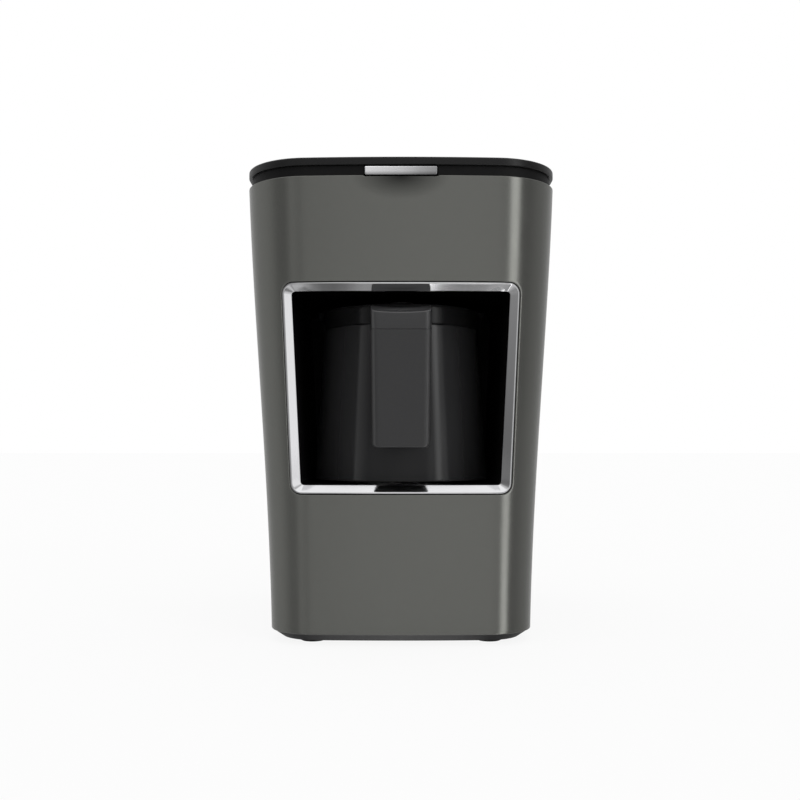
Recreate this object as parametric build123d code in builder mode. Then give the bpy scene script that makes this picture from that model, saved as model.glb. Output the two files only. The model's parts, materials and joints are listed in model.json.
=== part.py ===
from build123d import *
from math import asin, cos, pi, radians, sin, sqrt, tan
import os

# Electric Turkish coffee maker: a painted body with a heating chamber, a black head and
# base, and a pot that slides straight out of the chamber.
# Millimetres. X points right, Y points away from the user, Z points up.
# The origin is on the resting surface, below the centre of the object.

os.makedirs("parts", exist_ok=True)

# ---------------------------------------------------------------- driving dimensions
HEIGHT = 256.2
FRONT_Y = -100.0
REAR_Y = 101.0

BODY_BOTTOM = 6.0
BODY_TOP = 246.6
HALF_WIDTH_BOTTOM = 71.1
HALF_WIDTH_TOP = 84.1
FRONT_LEAN = 5.0                  # the front stands this much further back at the bottom
TAPER_POWER = 1.116               # shape of the taper between bottom and top
TAPER_S_SHARE = 0.403
FRONT_ARC = 800.0                 # plan radius of the bowed front
CORNER_BOTTOM = 25.5              # plan radius of the front corners
CORNER_TOP = 35.5
REAR_CORNER = 16.0
WALL = 2.2
LOFT_LEVELS = [BODY_BOTTOM, 66.0, 126.0, 186.0, BODY_TOP]
REAR_SPLIT = 80.0                 # the painted wrap ends here and the rear cover begins
SEAM = 0.3

BASE_BOTTOM = 2.0
BASE_CHAMFER = 5.8
BASE_EDGE = 0.6
BASE_FLOOR = 4.4
BASE_RIM_TOP = 14.0

NECK_TOP = 252.0
NECK_INSET = 1.9
SKIRT_INSET = 3.0
SKIRT_BOTTOM = 236.0
DECK_BOTTOM = 250.0

# Chamber opening: rows of (height, half width), narrower at the bottom.
OPENING_LOW = 85.0
OPENING_HIGH = 186.8
OPENING_HALF_LOW = 52.95
OPENING_HALF_HIGH = 57.66
OPENING_CORNER = 1.8
BEZEL_LOW = 80.4
BEZEL_HIGH = 191.0
BEZEL_HALF_LOW = 58.16
BEZEL_HALF_HIGH = 62.86
BEZEL_CORNER = 5.5
BEZEL_GAP = 0.5
BEZEL_BACK_Y = -88.0
BEZEL_RIM = 0.8                   # narrow front edge before the chamfer begins
BEZEL_DEPTH = 4.5                 # depth of the chamfer behind the body surface

FLANGE_BACK_Y = -86.0
FLANGE_LOW = 69.0
FLANGE_HIGH = 202.0
FLANGE_HALF_LOW = 60.5
FLANGE_HALF_HIGH = 66.5
CHAMBER_FLOOR = 84.6
CHAMBER_CEILING = 188.5
CHAMBER_HALF_LOW = 54.0
CHAMBER_HALF_HIGH = 58.8
CHAMBER_BACK_Y = 38.0
LINER_WALL = 1.8

POT_Y = -33.0
POT_BOTTOM = 85.65
POT_RADIUS_BOTTOM = 50.3
POT_RADIUS_TOP = 45.1
SLEEVE_BOTTOM = 86.0
SLEEVE_TOP = 172.0
SLEEVE_WALL = 2.2
COLLAR_BOTTOM = 172.2
RIM_TOP = 182.8
SPOUT_X = 42.25
SPOUT_TOP_RADIUS = 7.2
SPOUT_ROOT_RADIUS = 1.5
SPOUT_WALL = 1.6
CUP_BOTTOM = 88.6
CUP_TOP = 179.6
CUP_WALL = 1.0
CUP_GAP = 2.5                     # air between the sleeve and the cup, measured on the radius

HANDLE_FRONT_Y = -101.0
HANDLE_BACK_Y = -96.4
CAP_BACK_Y = -93.5
HANDLE_LOW = 104.8
HANDLE_PARTING = 166.3
HANDLE_HIGH = 179.6
HANDLE_HALF_LOW = 14.2
HANDLE_HALF_HIGH = 16.0
HANDLE_CORNER = 2.0
THUMB_DROP = 3.7                  # fall of the thumb surface towards the front
ARM_HALF = 8.0
ARM_LOW = 156.0
ARM_HIGH = 176.0

HOTPLATE_TOP = 85.5
HOTPLATE_RADIUS = 38.0
HOTPLATE_FLANGE_RADIUS = 44.0
HOTPLATE_FLANGE_TOP = 82.2
HOTPLATE_FLANGE_BOTTOM = 80.2
FLOOR_HOLE_RADIUS = 41.0
ELEMENT_RADIUS = 28.0
ELEMENT_TUBE = 3.0
ELEMENT_GAP_DEGREES = 40.0

BUTTON_HALF = 18.75
BUTTON_LOW = 246.6
BUTTON_HIGH = 251.2
BUTTON_FRONT_Y = -101.0
BUTTON_BACK_Y = -96.6
BUTTON_CLEARANCE = 0.65
BUTTON_TRAVEL = 2.0

CORD_X = 18.0
CORD_Z = 28.0
CORD_BORE = 3.6

FOOT_RADIUS = 6.8
FOOT_X = 47.8
FOOT_FRONT_Y = -74.7
FOOT_REAR_Y = 75.0

FIT = 0.05                        # radial play between a screw and its hole

REAR_SCREW_PLACES = [(-50.0, 28.0), (50.0, 28.0), (-60.0, 226.0), (60.0, 226.0)]
BASE_SCREW_PLACES = [(-61.5, -40.0), (61.5, -40.0), (-61.5, 55.0), (61.5, 55.0)]
LID_SCREW_PLACES = [(-60.0, -55.0), (60.0, -55.0), (-60.0, 70.0), (60.0, 70.0)]
LINER_SCREW_PLACES = [(-40.0, 74.0), (40.0, 74.0), (-40.0, 197.0), (40.0, 197.0)]
BEZEL_PIN_PLACES = [(-56.7, 87.0), (56.7, 87.0), (-61.0, 184.0), (61.0, 184.0)]
HEATER_SCREW_ANGLES = [90.0, 210.0, 330.0]
HEATER_SCREW_RADIUS = 51.0
POWER_POST_PLACES = [(-38.0, 112.0), (38.0, 124.0), (-38.0, 172.0), (38.0, 172.0)]
CONTROL_POST_PLACES = [(-31.0, -62.0), (31.0, -62.0), (-31.0, -20.0), (31.0, -20.0)]


# ---------------------------------------------------------------- shape of the body
def taper(height):
    """Share of the widening reached at a height: 0 at the bottom of the body, 1 at its top."""
    rise = min(max((height - BODY_BOTTOM) / (BODY_TOP - BODY_BOTTOM), 0.0), 1.0) ** TAPER_POWER
    s_curve = 3 * rise ** 2 - 2 * rise ** 3
    return (1 - TAPER_S_SHARE) * rise + TAPER_S_SHARE * s_curve


def between(low, high, height):
    return low + (high - low) * taper(height)


def half_width(height):
    return between(HALF_WIDTH_BOTTOM, HALF_WIDTH_TOP, height)


def body_outline(height, inset=0.0, level=None):
    """Plan outline of the body at a height, moved inwards by inset, drawn at a level."""
    half = half_width(height) - inset
    front = FRONT_Y + FRONT_LEAN * (1 - taper(height)) + inset
    front_arc = FRONT_ARC - inset
    corner = between(CORNER_BOTTOM, CORNER_TOP, height) - inset
    rear = REAR_Y - inset
    rear_corner = REAR_CORNER - inset

    corner_x = half - corner
    corner_y = front + front_arc - sqrt((front_arc - corner) ** 2 - corner_x ** 2)
    join_angle = asin(corner_x / (front_arc - corner))
    join = (front_arc * sin(join_angle), front + front_arc * (1 - cos(join_angle)))
    half_turn = (join_angle + pi / 2) / 2
    corner_middle = (corner_x + corner * sin(half_turn), corner_y - corner * cos(half_turn))
    rear_slack = rear_corner * (1 - cos(pi / 4))
    rear_middle = (half - rear_slack, rear - rear_slack)

    with BuildSketch(Plane.XY.offset(height if level is None else level)) as outline:
        with BuildLine():
            ThreePointArc((-join[0], join[1]), (0, front), join)
            ThreePointArc(join, corner_middle, (half, corner_y))
            Line((half, corner_y), (half, rear - rear_corner))
            ThreePointArc((half, rear - rear_corner), rear_middle, (half - rear_corner, rear))
            Line((half - rear_corner, rear), (rear_corner - half, rear))
            ThreePointArc((rear_corner - half, rear), (-rear_middle[0], rear_middle[1]),
                          (-half, rear - rear_corner))
            Line((-half, rear - rear_corner), (-half, corner_y))
            ThreePointArc((-half, corner_y), (-corner_middle[0], corner_middle[1]),
                          (-join[0], join[1]))
        make_face()
    return outline.sketch


def front_surface(x, height):
    """Y of the painted front at a place beside the middle: the bow, and past it the corner."""
    front = FRONT_Y + FRONT_LEAN * (1 - taper(height))
    corner = between(CORNER_BOTTOM, CORNER_TOP, height)
    corner_x = half_width(height) - corner
    if abs(x) <= corner_x * FRONT_ARC / (FRONT_ARC - corner):
        return front + FRONT_ARC - sqrt(FRONT_ARC ** 2 - x ** 2)
    corner_y = front + FRONT_ARC - sqrt((FRONT_ARC - corner) ** 2 - corner_x ** 2)
    return corner_y - sqrt(corner ** 2 - (abs(x) - corner_x) ** 2)


def body_loft(inset=0.0):
    """Sections of the body from bottom to top, moved inwards by inset."""
    return [body_outline(height, inset) for height in LOFT_LEVELS]


# ---------------------------------------------------------------- helpers
def upright(y):
    """Plane square to Y at y: its x is X, its y is Z, and it faces the user."""
    return Plane.XZ.offset(-y)


def frame_outline(y, low, high, half_low, half_high, corner, grow=0.0):
    """Trapezoid with rounded corners in the upright plane at y, grown outwards by grow."""
    slope = (half_high - half_low) / (high - low)
    bottom = (half_low - slope * grow + grow, low - grow)
    top = (half_high + slope * grow + grow, high + grow)
    with BuildSketch(upright(y)) as outline:
        with BuildLine():
            Polyline((-bottom[0], bottom[1]), bottom, top, (-top[0], top[1]), close=True)
        make_face()
        fillet(outline.vertices(), corner + grow)
    return outline.sketch


def bezel_outline(y, grow=0.0):
    return frame_outline(y, BEZEL_LOW, BEZEL_HIGH, BEZEL_HALF_LOW, BEZEL_HALF_HIGH,
                         BEZEL_CORNER, grow)


def opening_outline(y, grow=0.0):
    return frame_outline(y, OPENING_LOW, OPENING_HIGH, OPENING_HALF_LOW, OPENING_HALF_HIGH,
                         OPENING_CORNER, grow)


def cylinder_along(start, direction, radius, length, mode=Mode.ADD):
    """Cylinder from a start point along a direction, joined to the part being built."""
    with Locations(Plane(origin=start, z_dir=direction)):
        Cylinder(radius, length, align=(Align.CENTER, Align.CENTER, Align.MIN), mode=mode)


def block(low, high, mode=Mode.ADD):
    """Box between two corners, joined to the part being built."""
    size = [high[axis] - low[axis] for axis in range(3)]
    with Locations(low):
        Box(*size, align=(Align.MIN, Align.MIN, Align.MIN), mode=mode)


def screw(seat, direction, head_radius, head_height, shaft_radius, length):
    """Pan head screw with a cross recess: the head stands behind the seat."""
    plane = Plane(origin=seat, z_dir=direction)
    recess_depth = head_height * 0.6
    with Locations(plane.offset(-head_height)):
        Cylinder(head_radius, head_height, align=(Align.CENTER, Align.CENTER, Align.MIN))
        for turn in (0, 90):
            Box(head_radius * 1.3, head_radius * 0.28, recess_depth, rotation=(0, 0, turn),
                align=(Align.CENTER, Align.CENTER, Align.MIN), mode=Mode.SUBTRACT)
    with Locations(plane):
        Cylinder(shaft_radius, length, align=(Align.CENTER, Align.CENTER, Align.MIN))


def tube(points, radius):
    """Lead along a route of straight runs joined by arcs as large as the runs allow."""
    corners = [Vector(*point) for point in points]
    radii = []
    for before, here, after in zip(corners, corners[1:], corners[2:]):
        turn = radians((here - before).get_angle(after - here))
        run = min((here - before).length, (after - here).length)
        radii.append(0.45 * run / tan(turn / 2))
    with BuildLine() as route:
        FilletPolyline(*points, radius=radii)
    with BuildSketch(Plane(origin=route.line @ 0, z_dir=route.line % 0)) as section:
        Circle(radius)
    sweep(section.sketch, path=route.line)


def pot_radius(height):
    """Outer radius of the conical sleeve."""
    share = (height - SLEEVE_BOTTOM) / (SLEEVE_TOP - SLEEVE_BOTTOM)
    return POT_RADIUS_BOTTOM + (POT_RADIUS_TOP - POT_RADIUS_BOTTOM) * share


def ring(points):
    """Solid of revolution about the axis of the pot, from points of (radius, height)."""
    with BuildSketch(Plane(origin=(0, POT_Y, 0), x_dir=(1, 0, 0), z_dir=(0, -1, 0))) as profile:
        with BuildLine():
            Polyline(*points, close=True)
        make_face()
    revolve(profile.sketch, axis=Axis((0, POT_Y, 0), (0, 0, 1)), revolution_arc=360)


def finish(builder, name):
    builder.part.label = name
    export_step(builder.part, f"parts/{name}.step")


# ---------------------------------------------------------------- body
with BuildPart() as body_tube:
    loft(body_loft())
    loft(body_loft(WALL), mode=Mode.SUBTRACT)

FAR = 120.0                       # past the object on every side, for cuts that go right through
BOSS_RADIUS = 3.6
BOSS_LENGTH = 20.0
RIB_HALF = 1.0
SCREW_SHAFT = 1.5
SCREW_PASSAGE = 1.8               # radius of the hole that a screw passes freely
REAR_BOSS_FRONT_Y = 64.0
REAR_BOSS_BACK_Y = 84.0
BASE_BOSS_TOP = BASE_RIM_TOP + BOSS_LENGTH
BASE_SCREW_HOLE = 18.0
LINER_HOLE = 4.4
NOTCH_HALF = BUTTON_HALF + BUTTON_CLEARANCE
NOTCH_LOW = BUTTON_LOW - 0.5
NOTCH_BACK_Y = -90.0

with BuildPart() as front_shell:
    add(body_tube.part)
    block((-FAR, REAR_SPLIT, 0), (FAR, FAR, HEIGHT), Mode.SUBTRACT)
    extrude(bezel_outline(BEZEL_BACK_Y + WALL, BEZEL_GAP), amount=30, mode=Mode.SUBTRACT)
    block((-NOTCH_HALF, -FAR, NOTCH_LOW), (NOTCH_HALF, NOTCH_BACK_Y, HEIGHT), Mode.SUBTRACT)
    for x, z in REAR_SCREW_PLACES:
        side = 1 if x > 0 else -1
        wall_x = half_width(z) - WALL / 2
        cylinder_along((x, REAR_BOSS_FRONT_Y, z), (0, 1, 0), BOSS_RADIUS, BOSS_LENGTH)
        block((min(x, side * wall_x), REAR_BOSS_FRONT_Y, z - RIB_HALF),
              (max(x, side * wall_x), REAR_SPLIT, z + RIB_HALF))
        cylinder_along((x, REAR_BOSS_FRONT_Y, z), (0, 1, 0), SCREW_SHAFT + FIT, BOSS_LENGTH,
                       Mode.SUBTRACT)
    for x, y in BASE_SCREW_PLACES:
        side = 1 if x > 0 else -1
        wall_x = half_width(BASE_RIM_TOP) - WALL / 2
        cylinder_along((x, y, BASE_RIM_TOP), (0, 0, 1), BOSS_RADIUS, BOSS_LENGTH)
        block((min(x, side * wall_x), y - RIB_HALF, BASE_RIM_TOP),
              (max(x, side * wall_x), y + RIB_HALF, BASE_BOSS_TOP))
        cylinder_along((x, y, BASE_RIM_TOP), (0, 0, 1), SCREW_SHAFT + FIT, BASE_SCREW_HOLE,
                       Mode.SUBTRACT)
    for x, z in LINER_SCREW_PLACES:
        boss = BEZEL_BACK_Y - front_surface(x, z) - WALL / 2
        cylinder_along((x, BEZEL_BACK_Y, z), (0, -1, 0), BOSS_RADIUS, boss)
        cylinder_along((x, BEZEL_BACK_Y, z), (0, -1, 0), SCREW_SHAFT + FIT, LINER_HOLE, Mode.SUBTRACT)
finish(front_shell, "front_shell")

# ---------------------------------------------------------------- rear cover
LIP_INSET = 2.5
LIP_THICKNESS = 1.6
LIP_FRONT_Y = 72.0
LIP_BACK_Y = 86.0
LIP_LOW = 38.0                    # the lip runs between the bosses of the rear screws
LIP_HIGH = 216.0
LIP_WEB_HEIGHTS = [52.0, 110.0, 165.0, 205.0]
LIP_WEB_HALF = 4.0
VENT_COUNT = 11
VENT_PITCH = 7.0
VENT_WIDTH = 3.0
VENT_HEIGHT = 24.0
VENT_ROWS = [62.0, 204.0]
POCKET = (26.0, 20.0)             # recess round the cord gland, width and height
POCKET_DEPTH = 5.0
GLAND_HOLE = 5.5
COVER_BOSS_RADIUS = 4.8
SCREW_WELL_RADIUS = 3.5
REAR_SCREW_SEAT_Y = REAR_BOSS_BACK_Y + 4

with BuildPart() as cover_lip:
    loft(body_loft(LIP_INSET))
    loft(body_loft(LIP_INSET + LIP_THICKNESS), mode=Mode.SUBTRACT)
    block((-FAR, LIP_FRONT_Y, LIP_LOW), (FAR, LIP_BACK_Y, LIP_HIGH), Mode.INTERSECT)

with BuildPart() as rear_cover:
    add(body_tube.part)
    block((-FAR, -FAR, 0), (FAR, REAR_SPLIT + SEAM, HEIGHT), Mode.SUBTRACT)
    add(cover_lip.part)
    for side in (-1, 1):
        # Webs on each side carry the lip on the wall of the cover.
        for z in LIP_WEB_HEIGHTS:
            edge = half_width(z) - WALL / 2
            inner = half_width(z) - LIP_INSET - LIP_THICKNESS / 2
            block((min(side * inner, side * edge), REAR_SPLIT + SEAM, z - LIP_WEB_HALF),
                  (max(side * inner, side * edge), LIP_BACK_Y, z + LIP_WEB_HALF))
    for x, z in REAR_SCREW_PLACES:
        cylinder_along((x, REAR_BOSS_BACK_Y, z), (0, 1, 0), COVER_BOSS_RADIUS,
                       REAR_Y - REAR_BOSS_BACK_Y)
        cylinder_along((x, REAR_SCREW_SEAT_Y, z), (0, 1, 0), SCREW_WELL_RADIUS, BOSS_LENGTH,
                       Mode.SUBTRACT)
        cylinder_along((x, REAR_BOSS_BACK_Y, z), (0, 1, 0), SCREW_PASSAGE, BOSS_LENGTH, Mode.SUBTRACT)
    pocket_low = (CORD_X - POCKET[0] / 2, REAR_Y - POCKET_DEPTH, CORD_Z - POCKET[1] / 2)
    pocket_high = (CORD_X + POCKET[0] / 2, REAR_Y - WALL / 2, CORD_Z + POCKET[1] / 2)
    block(tuple(value - WALL for value in pocket_low),
          (pocket_high[0] + WALL, pocket_high[1], pocket_high[2] + WALL))
    block(pocket_low, (pocket_high[0], FAR, pocket_high[2]), Mode.SUBTRACT)
    cylinder_along((CORD_X, REAR_Y - POCKET_DEPTH - BOSS_LENGTH / 2, CORD_Z), (0, 1, 0), GLAND_HOLE,
                   BOSS_LENGTH, Mode.SUBTRACT)
    for row in VENT_ROWS:
        with BuildSketch(upright(REAR_Y + 1)) as vents:
            with Locations((0, row)):
                with GridLocations(VENT_PITCH, 1, VENT_COUNT, 1):
                    SlotOverall(VENT_HEIGHT, VENT_WIDTH, rotation=90)
        extrude(amount=WALL + 2, mode=Mode.SUBTRACT)
finish(rear_cover, "rear_cover")

GLAND_LIP = 2.0
GLAND_LIP_RADIUS = 8.5
GLAND_CATCH_RADIUS = 7.2
GLAND_BACK_Y = REAR_Y - 1.0
GLAND_FRONT_Y = REAR_Y - POCKET_DEPTH - WALL - GLAND_LIP

with BuildPart() as cord_gland:
    cylinder_along((CORD_X, REAR_Y - POCKET_DEPTH, CORD_Z), (0, 1, 0), GLAND_LIP_RADIUS, GLAND_LIP)
    cylinder_along((CORD_X, GLAND_FRONT_Y, CORD_Z), (0, 1, 0), GLAND_CATCH_RADIUS, GLAND_LIP)
    cylinder_along((CORD_X, GLAND_FRONT_Y, CORD_Z), (0, 1, 0), GLAND_HOLE - FIT,
                   GLAND_BACK_Y - GLAND_FRONT_Y)
    cylinder_along((CORD_X, GLAND_FRONT_Y, CORD_Z), (0, 1, 0), CORD_BORE, BOSS_LENGTH, Mode.SUBTRACT)
finish(cord_gland, "cord_gland")

CASE_SCREW_HEAD = 3.0             # head radius of the screws that hold the casing
REAR_SCREW_LENGTH = 16.0

with BuildPart() as rear_cover_screws:
    for x, z in REAR_SCREW_PLACES:
        screw((x, REAR_SCREW_SEAT_Y, z), (0, -1, 0), CASE_SCREW_HEAD, 2.2, SCREW_SHAFT,
              REAR_SCREW_LENGTH)
finish(rear_cover_screws, "rear_cover_screws")

# ---------------------------------------------------------------- base
BASE_PAD_RADIUS = 4.4
BASE_SCREW_SEAT = 5.0
BASE_SCREW_LENGTH = 22.0
BASE_WELL_RADIUS = 3.3
BASE_RIM_INSET = WALL + 0.4
BASE_INSIDE_INSET = 7.0
FLOOR_VENT = (30.0, 3.4)          # length and width
FLOOR_VENT_PITCH = 9.0
FLOOR_VENT_COUNT = 7
FLOOR_VENT_ROWS = [-40.0, 10.0]
FOOT_EDGE = 0.6
FOOT_STEM_RADIUS = 2.5
FOOT_STEM_LENGTH = 5.0
FOOT_PLACES = {
    "foot_front_left": (-FOOT_X, FOOT_FRONT_Y),
    "foot_front_right": (FOOT_X, FOOT_FRONT_Y),
    "foot_rear_left": (-FOOT_X, FOOT_REAR_Y),
    "foot_rear_right": (FOOT_X, FOOT_REAR_Y),
}

with BuildPart() as base_plate:
    loft([body_outline(BODY_BOTTOM, BASE_EDGE + BASE_CHAMFER, BASE_BOTTOM),
          body_outline(BODY_BOTTOM, BASE_EDGE)])
    extrude(body_outline(BODY_BOTTOM, BASE_RIM_INSET), amount=BASE_RIM_TOP - BODY_BOTTOM)
    extrude(body_outline(BODY_BOTTOM, BASE_INSIDE_INSET, BASE_FLOOR), amount=BASE_RIM_TOP,
            mode=Mode.SUBTRACT)
    for x, y in BASE_SCREW_PLACES:
        cylinder_along((x, y, BASE_FLOOR - 1), (0, 0, 1), BASE_PAD_RADIUS,
                       BASE_RIM_TOP - BASE_FLOOR + 1)
        cylinder_along((x, y, 0), (0, 0, 1), BASE_WELL_RADIUS, BASE_SCREW_SEAT, Mode.SUBTRACT)
        cylinder_along((x, y, 0), (0, 0, 1), SCREW_PASSAGE, BASE_RIM_TOP + 1, Mode.SUBTRACT)
    for x, y in FOOT_PLACES.values():
        cylinder_along((x, y, 0), (0, 0, 1), FOOT_STEM_RADIUS + FIT, BASE_RIM_TOP, Mode.SUBTRACT)
    with BuildSketch(Plane.XY) as floor_vents:
        with Locations(*[(0, y) for y in FLOOR_VENT_ROWS]):
            with GridLocations(FLOOR_VENT_PITCH, 1, FLOOR_VENT_COUNT, 1):
                SlotOverall(*FLOOR_VENT, rotation=90)
    extrude(amount=BASE_FLOOR + 1, mode=Mode.SUBTRACT)
finish(base_plate, "base_plate")

for name, (x, y) in FOOT_PLACES.items():
    with BuildPart() as foot:
        cylinder_along((x, y, 0), (0, 0, 1), FOOT_RADIUS, BASE_BOTTOM)
        fillet(foot.edges().group_by(Axis.Z)[0], FOOT_EDGE)
        cylinder_along((x, y, BASE_BOTTOM), (0, 0, 1), FOOT_STEM_RADIUS, FOOT_STEM_LENGTH)
        fillet(foot.edges().group_by(Axis.Z)[-1], 0.8)
    finish(foot, name)

with BuildPart() as base_screws:
    for x, y in BASE_SCREW_PLACES:
        screw((x, y, BASE_SCREW_SEAT), (0, 0, 1), CASE_SCREW_HEAD, 2.0, SCREW_SHAFT,
              BASE_SCREW_LENGTH)
finish(base_screws, "base_screws")

# ---------------------------------------------------------------- head
NECK_WALL = 2.0
POST_RADIUS = 3.0
POST_HOLE = 6.0
BOARD_SCREW_SHAFT = 1.2
BOARD_SCREW_LENGTH = 7.0
CONTROL_BOARD_TOP = 243.2
BOARD_THICKNESS = 1.6
GUIDE_FRONT_Y = -93.2

with BuildPart() as lid_neck:
    extrude(body_outline(BODY_TOP, NECK_INSET), amount=NECK_TOP - BODY_TOP)
    extrude(body_outline(BODY_TOP, SKIRT_INSET, SKIRT_BOTTOM), amount=BODY_TOP - SKIRT_BOTTOM)
    extrude(body_outline(BODY_TOP, SKIRT_INSET + NECK_WALL, SKIRT_BOTTOM),
            amount=DECK_BOTTOM - SKIRT_BOTTOM, mode=Mode.SUBTRACT)
    block((-NOTCH_HALF, -FAR, NOTCH_LOW), (NOTCH_HALF, GUIDE_FRONT_Y, HEIGHT), Mode.SUBTRACT)
    for x, y in CONTROL_POST_PLACES:
        cylinder_along((x, y, CONTROL_BOARD_TOP), (0, 0, 1), POST_RADIUS,
                       DECK_BOTTOM - CONTROL_BOARD_TOP)
        cylinder_along((x, y, CONTROL_BOARD_TOP), (0, 0, 1), BOARD_SCREW_SHAFT + FIT, POST_HOLE,
                       Mode.SUBTRACT)
    for x, y in LID_SCREW_PLACES:
        cylinder_along((x, y, SKIRT_BOTTOM), (0, 0, 1), SCREW_PASSAGE, HEIGHT - SKIRT_BOTTOM,
                       Mode.SUBTRACT)
finish(lid_neck, "lid_neck")

LID_LOWER_ROUND = 0.8
LID_UPPER_ROUND = 0.9
LID_SCREW_HOLE = 2.8
LID_SCREW_LENGTH = 4.6

with BuildPart() as top_lid:
    extrude(body_outline(BODY_TOP, 0.0, NECK_TOP), amount=HEIGHT - NECK_TOP)
    fillet(top_lid.edges().group_by(Axis.Z)[0], LID_LOWER_ROUND)
    fillet(top_lid.edges().group_by(Axis.Z)[-1], LID_UPPER_ROUND)
    for x, y in LID_SCREW_PLACES:
        cylinder_along((x, y, NECK_TOP), (0, 0, 1), SCREW_SHAFT + FIT, LID_SCREW_HOLE, Mode.SUBTRACT)
finish(top_lid, "top_lid")

with BuildPart() as lid_screws:
    for x, y in LID_SCREW_PLACES:
        screw((x, y, DECK_BOTTOM), (0, 0, 1), CASE_SCREW_HEAD, 2.0, SCREW_SHAFT, LID_SCREW_LENGTH)
finish(lid_screws, "lid_screws")

# ---------------------------------------------------------------- start button
BUTTON_EDGE = 0.7
CARRIER_HALF = 17.0
CARRIER_BACK_Y = -95.4
STEM_HALF = 9.0
STEM_LOW = 247.0
STEM_HIGH = 249.8
STOP_HALF = 11.4
STOP_LOW = 246.0
STOP_FRONT_Y = -91.9
STOP_BACK_Y = -89.9
PIN_RADIUS = 1.3
SPRING_PIN_LENGTH = 3.0
RUNNING_GAP = 0.1                 # between the plunger and its guide
GUIDE_HALF = 14.0
GUIDE_INNER_HALF = 11.6
GUIDE_BACK_Y = -78.0
GUIDE_WALL = 2.0
GUIDE_LOW = 244.4
RAIL_INNER = 10.4
RAIL_LOW = 245.0
SPRING_X = -5.5
SPRING_Z = 247.6
SPRING_RADIUS = 1.9
SPRING_WIRE = 0.3
SPRING_TURNS = 7
SWITCH_X = 5.5
SWITCH_HALF = 3.0
SWITCH_HIGH = 249.4
SWITCH_FRONT_Y = -84.0
SWITCH_TIP_Y = -86.0
SWITCH_TIP_RADIUS = 1.5

with BuildPart() as start_button:
    block((-BUTTON_HALF, BUTTON_FRONT_Y, BUTTON_LOW), (BUTTON_HALF, BUTTON_BACK_Y, BUTTON_HIGH))
    fillet(start_button.faces().sort_by(Axis.Y)[0].edges(), BUTTON_EDGE)
finish(start_button, "start_button")

with BuildPart() as button_plunger:
    block((-CARRIER_HALF, BUTTON_BACK_Y, BUTTON_LOW + 0.6),
          (CARRIER_HALF, CARRIER_BACK_Y, BUTTON_HIGH - 0.6))
    block((-STEM_HALF, CARRIER_BACK_Y, STEM_LOW), (STEM_HALF, STOP_FRONT_Y, STEM_HIGH))
    block((-STOP_HALF, STOP_FRONT_Y, STOP_LOW), (STOP_HALF, STOP_BACK_Y, STEM_HIGH))
    cylinder_along((SPRING_X, STOP_BACK_Y, SPRING_Z), (0, 1, 0), PIN_RADIUS, SPRING_PIN_LENGTH)
    cylinder_along((SWITCH_X, STOP_BACK_Y, SPRING_Z), (0, 1, 0), PIN_RADIUS,
                   SWITCH_TIP_Y - STOP_BACK_Y - BUTTON_TRAVEL - RUNNING_GAP / 2)
finish(button_plunger, "button_plunger")

with BuildPart() as button_guide:
    block((-GUIDE_HALF, GUIDE_FRONT_Y, GUIDE_LOW), (GUIDE_HALF, GUIDE_BACK_Y + GUIDE_WALL, DECK_BOTTOM))
    block((-GUIDE_INNER_HALF, STOP_FRONT_Y - RUNNING_GAP, GUIDE_LOW),
          (GUIDE_INNER_HALF, GUIDE_BACK_Y, DECK_BOTTOM), Mode.SUBTRACT)
    block((-STEM_HALF - RUNNING_GAP, -FAR, STEM_LOW - RUNNING_GAP),
          (STEM_HALF + RUNNING_GAP, STOP_FRONT_Y, DECK_BOTTOM), Mode.SUBTRACT)
    for side in (-1, 1):
        # A rail under each end of the stop keeps the plunger level.
        block((min(side * RAIL_INNER, side * GUIDE_HALF), STOP_FRONT_Y - RUNNING_GAP, RAIL_LOW),
              (max(side * RAIL_INNER, side * GUIDE_HALF), GUIDE_BACK_Y, STOP_LOW - RUNNING_GAP))
finish(button_guide, "button_guide")

with BuildPart() as button_spring:
    spring_length = GUIDE_BACK_Y - STOP_BACK_Y - 2.2 * SPRING_WIRE
    with BuildLine() as coil:
        Helix(pitch=spring_length / SPRING_TURNS, height=spring_length, radius=SPRING_RADIUS,
              center=(SPRING_X, STOP_BACK_Y + 1.1 * SPRING_WIRE, SPRING_Z), direction=(0, 1, 0))
    with BuildSketch(Plane(origin=coil.line @ 0, z_dir=coil.line % 0)) as wire_section:
        Circle(SPRING_WIRE)
    sweep(wire_section.sketch, path=coil.line, is_frenet=True)
finish(button_spring, "button_spring")

with BuildPart() as start_switch:
    block((SWITCH_X - SWITCH_HALF, SWITCH_FRONT_Y, CONTROL_BOARD_TOP),
          (SWITCH_X + SWITCH_HALF, GUIDE_BACK_Y - RUNNING_GAP, SWITCH_HIGH))
    cylinder_along((SWITCH_X, SWITCH_TIP_Y, SPRING_Z), (0, 1, 0), SWITCH_TIP_RADIUS,
                   SWITCH_FRONT_Y - SWITCH_TIP_Y)
finish(start_switch, "start_switch")

# ---------------------------------------------------------------- control board in the head
CONTROL_BOARD_LOW = CONTROL_BOARD_TOP - BOARD_THICKNESS
CONTROL_BOARD_HALF = 36.0
CONTROL_BOARD_FRONT_Y = -86.0
CONTROL_BOARD_BACK_Y = -14.0
BOARD_CORNER = 2.0
BOARD_HOLE_RADIUS = 1.4
CHIP_SIZE = (10.0, 10.0, 1.6)
CHIP_PLACE = (-12.0, -52.0)
BUZZER_PLACE = (18.0, -40.0)
BUZZER_RADIUS = 6.0
BUZZER_HEIGHT = 8.0
BUZZER_MOUTH = (1.2, 1.5)         # radius and depth

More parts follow.
